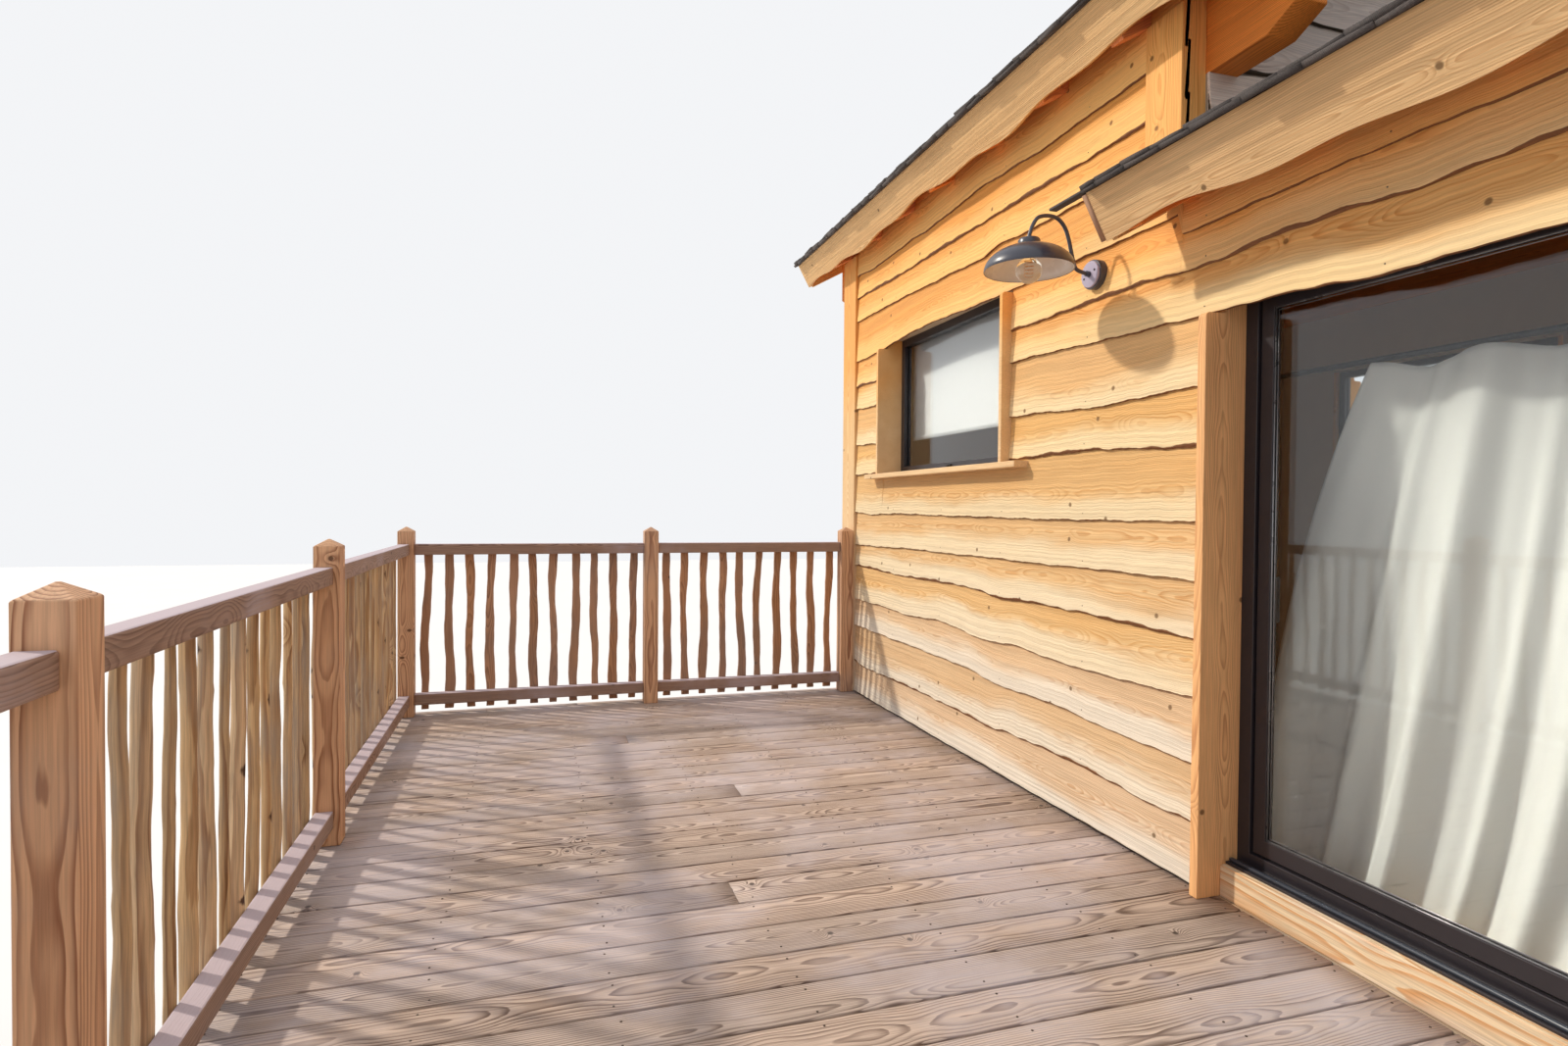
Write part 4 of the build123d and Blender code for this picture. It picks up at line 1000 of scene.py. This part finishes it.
def shakeSlope(part, y0, y1, mirrored, lapTo=None):
    # rows from the eave to the ridge; in each the widths are drawn at random and added up. With lapTo
    # the rows outside the wall run on past the taller part's wall. s is how far up the slope a point
    # lies and n how far off it: each shake thins and sinks along its length, tilts and warps a little.
    pitch, (out, up) = roofPlan["pitch"], roofPlan[part]
    eaveX, eaveZ = wallX - out, deckZ + up
    slopeLong = (ridgeX - eaveX) / math.cos(pitch)
    wallAt = (out - shake["wallIn"]) / math.cos(pitch)
    lowest, upTo = -shake["overhang"], slopeLong - shake["ridgeShort"]
    rows = np.concatenate([[lowest, lowest + shake["secondUp"]],
                           np.arange(shake["row"] - shake["overhang"], upTo, shake["row"])])
    begin, end, butt, reach = [], [], [], []
    for foot in rows:
        wide = dice.uniform(*shake["wide"], int((y1 - y0) / shake["wide"][0]) + 2)
        stops = y0 + np.concatenate([[0.0], np.cumsum(wide)])
        stops = np.append(stops[stops < y1 - shake["wide"][0] * 0.5], y1)
        longest = np.full(len(stops) - 1, min(shake["long"], slopeLong - foot - shake["endShort"]))
        if lapTo and foot < wallAt - 0.1:
            stops = np.append(stops, y1 + (lapTo - y1) * dice.uniform(0.75, 1.0))
            longest = np.append(longest, wallAt - foot)
        begin.append(stops[:-1])
        end.append(stops[1:])
        butt.append(np.full(len(stops) - 1, foot))
        reach.append(longest)
    begin, end, butt, reach = [np.concatenate(values)[:, None, None]
                               for values in (begin, end, butt, reach)]
    each = (len(begin), 1, 1)
    layer = (butt < rows[0] + 0.001) * 1 + (np.abs(butt - rows[1]) < 0.001) * 2
    jag = dice.uniform(0, shake["uneven"], each) * np.where(layer == 2, 0.4, 1.0)
    share = np.linspace(0.0, 1.0, 4)[None, :, None]
    s = butt + jag + (reach - shake["uneven"]) * share
    rest = np.array(shake["lift"])[layer] * (1 - share) + 0.001
    tilt = dice.uniform(-shake["twist"], shake["twist"], each)
    side = np.array([0.0, 0.33, 0.67, 1.0, 1.0, 0.0])[None, None, :]
    upper = np.array([1.0, 1.0, 1.0, 1.0, 0.0, 0.0])[None, None, :]
    warp = dice.uniform(-shake["warp"], shake["warp"], (len(begin), 1, 6))
    thick = (shake["thick"] * (1.0 - shake["thinning"] * share)
             + (layer > 0) * shake["eaveThick"] * dice.uniform(0.1, 1, each))
    n = np.clip(rest + upper * (thick + warp) + tilt * (side - 0.5), 0.0005, shake["top"])
    slip = dice.uniform(-shake["slip"], shake["slip"], each) * share
    y = begin + shake["gap"] / 2 + (end - begin - shake["gap"]) * side + slip
    y = np.clip(y, y0, lapTo or y1)
    x = eaveX + s * math.cos(pitch) - n * math.sin(pitch)
    z = eaveZ + s * math.sin(pitch) + n * math.cos(pitch)
    if mirrored:
        x = 2 * ridgeX - x
    return stack(x, y, z), stack(s, y - begin, n), dice.random(each)


def makeShakes(part, top, lapTo=None):
    # a slope and its mirror image, each drawn anew, as one piece
    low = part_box("shakes_" + part)[0]
    slopes = [shakeSlope(part, low.y, top, mirrored, lapTo) for mirrored in (False, True)]
    rings, grain, seed = [np.concatenate(values) for values in zip(*slopes)]
    skins("shake_rows_" + part, rings, "shake", "roof_shake", ("shakes_" + part,),
          grain=grain, seed=seed)


lowEnd = {  # beyond the step the low eave ends in one slipped shake and a board over the fascia's end
    "shakeOut": 0.012, "shakeIn": 0.022, "shakeBefore": 0.02, "tongue": 0.30, "shakeUp": (0.004, 0.014),
    "boardIn": 0.030, "boardProud": 0.003, "boardBelow": (0.003, 0.186), "boardOn": (0.0005, 0.0225),
}


def makeLowEnd():
    # the shake is a box; the board is a rectangle square to the slope, carried along y
    out, up = roofPlan["low"]
    eaveX, eaveZ = wallX - out, deckZ + up
    under, over = lowEnd["shakeUp"]
    blocks("slipped_shake", [(eaveX - lowEnd["shakeOut"], stepY - lowEnd["shakeBefore"], eaveZ + under)],
           [(eaveX + lowEnd["shakeIn"], stepY + lowEnd["tongue"], eaveZ + over)], "shake", "roof_shake",
           0.002)
    starts, ends = solidBoxes("fascias")
    farEnd = ends[np.argmin(starts[:, 2] * 10.0 + starts[:, 0]), 1]
    pitch = roofPlan["pitch"]
    inner, outer, (upper, lower) = -lowEnd["boardIn"], lowEnd["boardProud"], lowEnd["boardBelow"]
    along, below = np.array([(inner, upper), (inner, lower), (outer, lower), (outer, upper)]).T
    x = eaveX - along * math.cos(pitch) + below * math.sin(pitch)
    z = eaveZ - along * math.sin(pitch) - below * math.cos(pitch)
    rings = np.stack([np.c_[x, np.full(4, farEnd + on), z] for on in lowEnd["boardOn"]])[None]
    skins("fascia_end", rings, "plank", "fascia_timber")


makeShakes("tall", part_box("shakes_tall")[1].y)
makeShakes("low", stepY, stepY + shake["lap"])
makeLowEnd()
print("roof shakes made")


# Railing: peeled branches and wavy slats

stick = {
    "steps": 5, "around": 12, "sway": [(0.31, 0.0026), (0.13, 0.0012)], "lump": 0.06, "knot": 0.16,
    "knotLong": 0.022, "scarShare": 0.6, "scar": [(0.37, 0.55), (0.13, 0.4)], "clear": 0.0003,
}


def makeSticks(node, name):
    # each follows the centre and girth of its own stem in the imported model. Its radius is times 1 plus
    # a slow twisting wave plus three knots, each a bell curve along the stem on one side of it.
    middle, half = levelsOf(node)
    each = (len(middle), 1, 1)
    line = glide(np.concatenate([middle, half[..., 1:2]], axis=-1), stick["steps"])
    x, y, z, radius = [line[..., k][:, :, None] for k in range(4)]
    seed = dice.random(each)
    share = np.linspace(0.0, 1.0, line.shape[1])[None, :, None]
    turn = circle(stick["around"])[None, None, :]
    lumps = 1 + stick["lump"] * np.sin(2 * turn + 6.3 * seed + 2.0 * share) * np.sin(11 * share + 31 * seed)
    for spread in (1.0, 1.7, 2.9):
        knotAt, knotTurn = (dice.random(each) * spread) % 1.0, 6.3 * dice.random(each)
        bell = np.exp(-((share - knotAt) / stick["knotLong"]) ** 2)
        lumps = lumps + stick["knot"] * bell * np.maximum(np.cos(turn - knotTurn), 0)
    fade = np.sin(np.pi * share) ** 0.5
    inner = (middle[:, 0, 0] + half[:, 0, 0])[:, None, None]
    px = np.clip(x + radius * lumps * np.cos(turn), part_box(node)[0].x + stick["clear"], inner - 0.0004)
    py = y + waves(z, seed * 13, stick["sway"]) * fade + radius * lumps * np.sin(turn)
    scar = waves(z, seed * 41, stick["scar"]) + 0.45 * np.cos(turn - 6.3 * seed) - 0.55
    skins(name, stack(px, py, z), "branch", "peeled_branch", (node,), degrees=50.0, seed=seed,
          grain=stack(z, radius * np.cos(turn), radius * np.sin(turn) - 0.01),
          bark=np.clip(scar, 0, 0.75) * (seed < stick["scarShare"]))


slat = {
    "steps": 9, "edge": [(0.9, 0.0030), (0.35, 0.0020), (0.14, 0.0010)], "girth": 0.45,
    "sway": [(1.35, 0.009), (0.6, 0.003)], "round": 0.004,
}


def makeSlats(node, name):
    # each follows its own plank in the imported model. It is an outline with cut corners, whose two edges
    # wander by a sum of sines each, while a third swings the whole plank to and fro.
    middle, half = levelsOf(node)
    line = glide(np.concatenate([middle, half[..., 0:1]], axis=-1), slat["steps"])
    x, y, z, wide = [line[..., k][:, :, None] for k in range(4)]
    mean = wide.mean(axis=1, keepdims=True)
    wide = mean + slat["girth"] * (wide - mean)
    seed = dice.random((len(middle), 1, 1))
    share = np.linspace(0.0, 1.0, line.shape[1])[None, :, None]
    thick = half[:, 0, 1][:, None, None] * 2
    front = y - thick / 2
    sideSign = np.array([-1, 1, 1, 1, 1, -1, -1, -1])[None, None, :]
    inset = np.array([1, 1, 0, 0, 1, 1, 0, 0])[None, None, :] * slat["round"]
    depth = np.array([0, 0, 1, -1, 0, 0, -1, 1])[None, None, :] * slat["round"]
    back = np.array([0, 0, 0, 1, 1, 1, 1, 0])[None, None, :]
    swing = waves(z, seed * 17, slat["sway"]) * np.sin(np.pi * share) ** 0.6
    edge = np.where(sideSign > 0, waves(z, seed * 23, slat["edge"]), waves(z, seed * 37, slat["edge"]))
    px = x + swing + sideSign * (wide - 0.002 - inset + edge)
    py = np.clip(front + back * thick + depth, front + 0.0003, front + thick - 0.0003)
    skins(name, stack(px, py, z), "plank", "rail_timber", (node,), degrees=40.0, seed=seed,
          grain=stack(z, px - x, py - front), bark=(inset == 0) * 0.35)


for bay in range(1, 5):
    makeSticks(f"branches_bay_{bay}", f"peeled_branches_{bay}")
for nodeName, pieceName in (("planks_far_left", "slats_far_left"), ("planks_far_right", "slats_far_right"),
                            ("planks_near", "slats_near")):
    makeSlats(nodeName, pieceName)
print("railing infill made")


# Pieces whose shape is already right get eased edges, and the timbers their own grain

timberWork = [  # node, paint, slot and how wide its edges are eased
    ("rail_posts", "railPost", "rail_timber", 0.004), ("rails", "rail", "rail_timber", 0.006),
    ("corner_posts", "post", "post_timber", 0.004), ("fascias", "fascia", "fascia_timber", 0.003),
    ("barge_boards", "fascia", "fascia_timber", 0.003),
    ("plates_and_ridges", "soffit", "fascia_timber", 0.005),
    ("rafters", "soffit", "fascia_timber", 0.003), ("sarking", "soffit", "fascia_timber", 0.0),
    ("ridge_caps", "shake", "roof_shake", 0.003), ("stilts", "rough", "rough_timber", 0.006),
    ("bearers", "rough", "rough_timber", 0.004), ("knee_braces", "rough", "rough_timber", 0.004),
    ("deck_joists", "rough", "rough_timber", 0.0), ("rim_boards", "rail", "deck_timber", 0.003),
    ("floor_frame", "rough", "rough_timber", 0.004), ("floor_boards", "floor", "floor_timber", 0.0),
]
for work in timberWork:
    dress(*work)
dress("door_posts", "doorBoard", "post_timber", topRound=0.016)
dress("door_sill_beam", "sill", "post_timber", 0.004)
dress("window_surrounds", "post", "post_timber", topRound=0.016)
dress("door_frame", "dark", "dark_frame", 0.002)
dress("fixed_sash", "dark", "dark_frame", 0.002)
dress("window_frames", "dark", "dark_frame")
dress("sliding_sash", "dark", "dark_frame", 0.002, body="sliding_leaf")
dress("sliding_handle", "blackSteel", "black_steel", 0.004, body="sliding_leaf")
dress("post_shoes", "steel", "galvanised_steel", 0.0015)
print("timbers dressed")


# Nodes that stay as they are get their finish

def finishNode(node, paint):
    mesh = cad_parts[node].data
    mesh.materials.clear()
    mesh.materials.append(paints[paint])


for nodeName in ("wall_deck_tall", "wall_deck_low", "wall_over_door", "wall_back_tall", "wall_back_low",
                 "gable_far", "gable_near", "gable_step"):
    finishNode(nodeName, "lining")
for nodeName in ("window_glass", "fixed_glass", "sliding_glass"):
    finishNode(nodeName, "glass")
finishNode("curtain_rod", "blackSteel")


# Curtain and blind

def cloth(spots, name, paint, slot, flat, held, restsOn, replaces):
    # a grid of points becomes one sheet, with a UV map in metres of cloth
    across, down = spots.shape[:2]
    here = np.arange(across * down).reshape(across, down)
    faces = np.stack([here[:-1, :-1], here[1:, :-1], here[1:, 1:], here[:-1, 1:]], axis=-1).reshape(-1, 4)
    mesh = meshFrom(name, spots, [faces])
    u, v = np.broadcast_arrays(*[size * share for size, share in zip(flat, grid(across, down))])
    layer = mesh.uv_layers.new(name="cloth")
    corner = np.empty(len(mesh.loops), dtype=np.int32)
    mesh.loops.foreach_get("vertex_index", corner)
    places = np.stack([u.ravel()[corner], v.ravel()[corner]], axis=-1)
    layer.data.foreach_set("uv", places.astype(np.float32).ravel())
    mesh.polygons.foreach_set("use_smooth", np.ones(len(mesh.polygons), dtype=bool))
    thing = place(name, mesh, paint, slot, replaces)
    thick = thing.modifiers.new("cloth", "SOLIDIFY")
    thick.thickness = 0.0012
    thick.offset = 0.0
    sides = np.cross(spots[1:, :-1] - spots[:-1, :-1], spots[:-1, 1:] - spots[:-1, :-1])
    area = float(np.linalg.norm(sides, axis=-1).sum())
    print(name, "area", round(area, 3), "cut", flat[0] * flat[1])


curtainCut = {  # its two upright edges are measured from the step
    "topFar": -0.445, "footFar": -0.075, "near": -2.43, "hooks": 5.6, "topDeep": 0.026, "footDeep": 0.047,
    "sag": 0.034, "clear": 0.002, "footUp": 0.004, "flat": (2.58, 1.82), "across": 320, "down": 90,
    "edgeSoft": 0.07, "ridgeSharp": 1.5, "ridgeDeep": 1.7, "rest": 0.75, "lean": 0.35,
}


def makeCurtain():
    # a flat grid that fans out downwards at its far edge; folds push it in and out by a sharp ridge at
    # each hook and softer waves between, and its top sags by the square of a sine between hooks
    low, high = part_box("curtain")
    across, down = grid(curtainCut["across"], curtainCut["down"])
    edge = np.exp(-across / curtainCut["edgeSoft"])
    fan = edge * (1 - (1 - down) ** 2.4) + (1 - edge) * (0.45 * (1 - (1 - down) ** 2) + 0.55 * down ** 3)
    topY, footY = [curtainCut[far] + (curtainCut["near"] - curtainCut[far]) * across
                   for far in ("topFar", "footFar")]
    turns = 2 * np.pi * curtainCut["hooks"] * (across + 0.010 * np.sin(9 * across + 2.0 * down))
    ridge = curtainCut["ridgeDeep"] * np.exp(curtainCut["ridgeSharp"] * (np.cos(turns) - 1))
    small = 0.42 * np.sin(2.3 * turns + 1.3 + 2.2 * down) + 0.2 * np.sin(4.3 * turns + 3 * down)
    fold = curtainCut["rest"] - ridge + small * (0.45 + 0.9 * down)
    deep = curtainCut["topDeep"] + (curtainCut["footDeep"] - curtainCut["topDeep"]) * down ** 0.8
    x = (low.x + high.x) / 2 + deep * fold
    x = np.clip(x, low.x + curtainCut["clear"], high.x - curtainCut["clear"])
    y = stepY + topY + (footY - topY) * fan - curtainCut["lean"] * deep * np.sin(turns)
    sag = curtainCut["sag"] * np.sin(turns / 2) ** 2 * (1 - down) ** 3
    z = high.z - sag + (floorZ + curtainCut["footUp"] - high.z) * down
    cloth(stack(x, y, z), "linen_curtain", "linen", "linen", curtainCut["flat"], "gathered",
          ["curtain_rod"], ("curtain",))


blindCut = {"flat": (1.57, 0.68), "bow": 0.0015, "across": 40, "down": 24}


def makeBlind():
    # flat, but for a bow of one sine across it
    low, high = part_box("window_blind")
    across, down = grid(blindCut["across"], blindCut["down"])
    x = (low.x + high.x) / 2 + blindCut["bow"] * np.sin(np.pi * across) * np.sin(2.5 * down)
    y = low.y + (high.y - low.y) * across
    z = high.z + (low.z - high.z) * down
    cloth(stack(x, y, z), "roller_blind", "blind", "blind_cloth", blindCut["flat"], "hung",
          ["window_frames_dressed"], ("window_blind",))


makeCurtain()
makeBlind()
print("curtain and blind made")


# Wall lamp

lampCut = {  # the arm's path is mm from the wall and above the deck
    "tube": 0.0082, "footTube": 1.5, "wall": 0.002, "neck": 0.046, "capHigh": 0.028, "baseUp": 2.348,
    "screw": (0.034, 0.012),
    "path": [(-60, 2348), (-88, 2352), (-119, 2360), (-135, 2376), (-151, 2429), (-164, 2480),
             (-184, 2530), (-219, 2564), (-265, 2572), (-312, 2560), (-338, 2527), (-353, 2479),
             (-355, 2466)],
    "baseDisc": [(0.062, 0.0), (0.062, 0.048), (0.0605, 0.052), (0.056, 0.053)],
    "plateDisc": [(0.055, 0.050), (0.055, 0.059), (0.0535, 0.0615), (0.048, 0.0625)],
    "screwDisc": [(0.0045, 0.058), (0.0045, 0.0642), (0.0030, 0.0654)],
    "holder": [(0.0, 0.0), (0.0140, 0.0), (0.0165, 0.004), (0.0165, 0.020), (0.0215, 0.023),
               (0.0215, 0.040), (0.0, 0.040)],
    "coilWide": 0.013, "coilTurns": 5, "wire": 0.0008,
}


def turned(name, profile, centre, paint, slot, replaces=(), around=72):
    # a profile of (radius, height) points carried once round an upright axis and closed
    profile = np.array(profile, dtype=float)
    turn = circle(around)
    x = centre[0] + profile[:, 0][None, :] * np.cos(turn)[:, None]
    y = centre[1] + profile[:, 0][None, :] * np.sin(turn)[:, None]
    z = centre[2] + profile[:, 1][None, :] + 0 * x
    here = np.arange(around * len(profile)).reshape(around, -1)
    there = np.roll(here, -1, axis=0)
    faces = np.stack([here[:, :-1], there[:, :-1], there[:, 1:], here[:, 1:]], axis=-1).reshape(-1, 4)
    mesh = meshFrom(name, stack(x, y, z), [faces])
    work = bmesh.new()
    work.from_mesh(mesh)
    bmesh.ops.remove_doubles(work, verts=work.verts, dist=0.00002)
    bmesh.ops.recalc_face_normals(work, faces=work.faces)
    work.to_mesh(mesh)
    work.free()
    place(name, smooth(mesh, 40.0), paint, slot, replaces)


def tubeAlong(name, line, radius, paint, slot, replaces=(), around=20):
    # rings square to the line: side is square to the line and to y, and other to both
    way = np.gradient(line, axis=0)
    way /= np.linalg.norm(way, axis=1, keepdims=True)
    side = np.cross(way, np.array([0.0, 1.0, 0.0]))
    side /= np.linalg.norm(side, axis=1, keepdims=True)
    other = np.cross(way, side)
    turn = circle(around)[None, :, None]
    rings = line[:, None] + radius * (np.cos(turn) * side[:, None] + np.sin(turn) * other[:, None])
    skins(name, rings[None], paint, slot, replaces, degrees=50.0)


def steppedDisc(name, centre, profile, paint):
    # a low round boss on the wall from (radius, distance from the wall) pairs
    radius, out = np.array(profile, dtype=float).T[:, :, None]
    turn = circle(64)[None, :]
    rings = stack(centre[0] - out, centre[1] + radius * np.cos(turn), centre[2] + radius * np.sin(turn))
    skins(name, rings[None], paint, "dark_enamel", degrees=30.0)


def makeShade():
    # the dome is a quarter of an ellipse, cut where it is as wide as the neck, and turned round
    low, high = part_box("lamp_shade")
    centre = ((low.x + high.x) / 2, (low.y + high.y) / 2, low.z)
    wide, tall = (high.x - low.x) / 2, high.z - low.z
    neck, wall = lampCut["neck"], lampCut["wall"]
    dome = tall - lampCut["capHigh"]
    rise = dome / math.sin(math.acos(neck / wide))
    turn = np.arccos(neck / wide) * np.linspace(0.0, 1.0, 14)[1:]
    curve = np.c_[wide * np.cos(turn), rise * np.sin(turn)]
    cap = [(neck, dome + 0.003), (neck * 0.97, tall - 0.007), (neck * 0.86, tall - 0.001),
           (neck * 0.45, tall), (0.0, tall)]
    lip = [(wide - 0.004, 0.0), (wide - 0.001, -0.001), (wide, 0.001)]
    turned("lamp_shade_outside", lip + curve.tolist() + cap, centre, "enamel", "dark_enamel",
           ("lamp_shade",))
    turn = np.linspace(0.0, np.pi / 2, 16)
    inner = np.c_[(wide - wall) * np.cos(turn), (rise - wall) * np.sin(turn)]
    turned("lamp_shade_inside", [(wide - 0.0008, 0.0003)] + inner.tolist(), centre, "enamelWhite",
           "dark_enamel")
    return centre, centre[2] + rise - wall


def makeBracket(centre):
    # two stepped discs with two screws, and a tube along the smooth line through the path's points
    base = (wallX, centre[1], deckZ + lampCut["baseUp"])
    steppedDisc("lamp_base", base, lampCut["baseDisc"], "enamel")
    steppedDisc("lamp_plate", base, lampCut["plateDisc"], "enamelPlate")
    beside, below = lampCut["screw"]
    for number, side in enumerate((-1, 1)):
        spot = (wallX, centre[1] + side * beside, base[2] - side * below)
        steppedDisc(f"lamp_screw_{number}", spot, lampCut["screwDisc"], "seal")
    path = np.array(lampCut["path"], dtype=float) / 1000.0
    points = np.c_[wallX + path[:, 0], np.full(len(path), centre[1]), deckZ + path[:, 1]]
    points[-2:, 0] = centre[0]
    line = glide(points[None], 6)[0]
    tubeAlong("lamp_arm", line, lampCut["tube"], "enamel", "dark_enamel", ("lamp_bracket",))
    tubeAlong("lamp_arm_foot", line[:5], lampCut["tube"] * lampCut["footTube"], "enamel", "dark_enamel")


def makeBulb(centre, top):
    # a ball with a short neck, a turned holder over it and a helix inside
    low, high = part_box("lamp_bulb")
    middle, radius = (low.x + high.x) / 2, (high.x - low.x) / 2 - 0.0005
    angle = np.linspace(-np.pi / 2, np.pi * 0.40, 24)
    ball = [(max(radius * math.cos(a), 0.0), radius * math.sin(a)) for a in angle]
    ball += [(0.0155, radius * 1.04), (0.0140, radius * 1.14), (0.0, radius * 1.14)]
    turned("bulb_globe", ball, (middle, centre[1], low.z + radius + 0.0005), "bulb", "clear_bulb",
           ("lamp_bulb",), 48)
    turned("bulb_holder", lampCut["holder"], (middle, centre[1], top - 0.0405), "brass", "dark_enamel",
           (), 32)
    wire = np.linspace(0, 1, 200)
    turn, wide = wire * 2 * np.pi * lampCut["coilTurns"], lampCut["coilWide"]
    coil = stack(middle + wide * np.cos(turn), centre[1] + wide * np.sin(turn),
                 low.z + radius * 0.70 + wire * radius * 0.9)
    tubeAlong("bulb_filament", coil, lampCut["wire"], "filament", "clear_bulb", (), 6)


shadeCentre, shadeTop = makeShade()
makeBracket(shadeCentre)
makeBulb(shadeCentre, shadeTop)
print("lamp made")


# Door and window fittings

fitting = {  # latch and screw stand from the wall, the step and the deck
    "bead": 0.0035, "beadProud": 0.005, "spacerIn": 0.009, "spacerProud": 0.0010, "barIn": 0.043,
    "barWide": 0.017, "barUp": 0.1205, "barHigh": 0.014, "latch": (0.100, 2.000, 1.618),
    "latchLows": [(-0.012, -0.024, -0.007), (-0.020, -0.012, -0.004)],
    "latchHighs": [(0.0, 0.024, 0.007), (-0.012, 0.012, 0.004)],
    "screw": (0.100, 2.832, 1.627), "screwAcross": 0.010, "screwProud": 0.0012,
}


def beadsRound(pane, name, body):
    # two bright lines round a pane on the side of the deck: the glazing bead and the spacer
    low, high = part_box(pane)
    lows, highs = [], []
    for inset, proud in ((0.0, fitting["beadProud"]), (fitting["spacerIn"], fitting["spacerProud"])):
        y0, y1, z0, z1, t = low.y + inset, high.y - inset, low.z + inset, high.z - inset, fitting["bead"]
        for a, b, c, d in ((y0, y1, z0, z0 + t), (y0, y1, z1 - t, z1), (y0, y0 + t, z0 + t, z1 - t),
                           (y1 - t, y1, z0 + t, z1 - t)):
            lows.append((low.x - proud, a, c))
            highs.append((low.x, b, d))
    blocks(name, lows, highs, "bead", "dark_frame", 0.0, body)


def makeFittings():
    # two lines of beads, the drip bar under the sliding door, and the window's latch and screw
    beadsRound("sliding_glass", "sliding_beads", "sliding_leaf")
    beadsRound("fixed_glass", "fixed_beads", "cabin")
    low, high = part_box("door_frame")
    x, z = wallX + fitting["barIn"], deckZ + fitting["barUp"]
    blocks("drip_bar", [(x, low.y + 0.002, z)],
           [(x + fitting["barWide"], high.y - 0.002, z + fitting["barHigh"])], "dripBar", "dark_frame",
           0.006)
    start = np.array([wallX, stepY, deckZ])
    spot = start + fitting["latch"]
    blocks("window_latch", spot + fitting["latchLows"], spot + fitting["latchHighs"], "seal", "dark_frame",
           0.002)
    heads("window_screw", (start + fitting["screw"])[None], (-1, 0, 0), fitting["screwAcross"],
          fitting["screwProud"])


makeFittings()
print("fittings made")
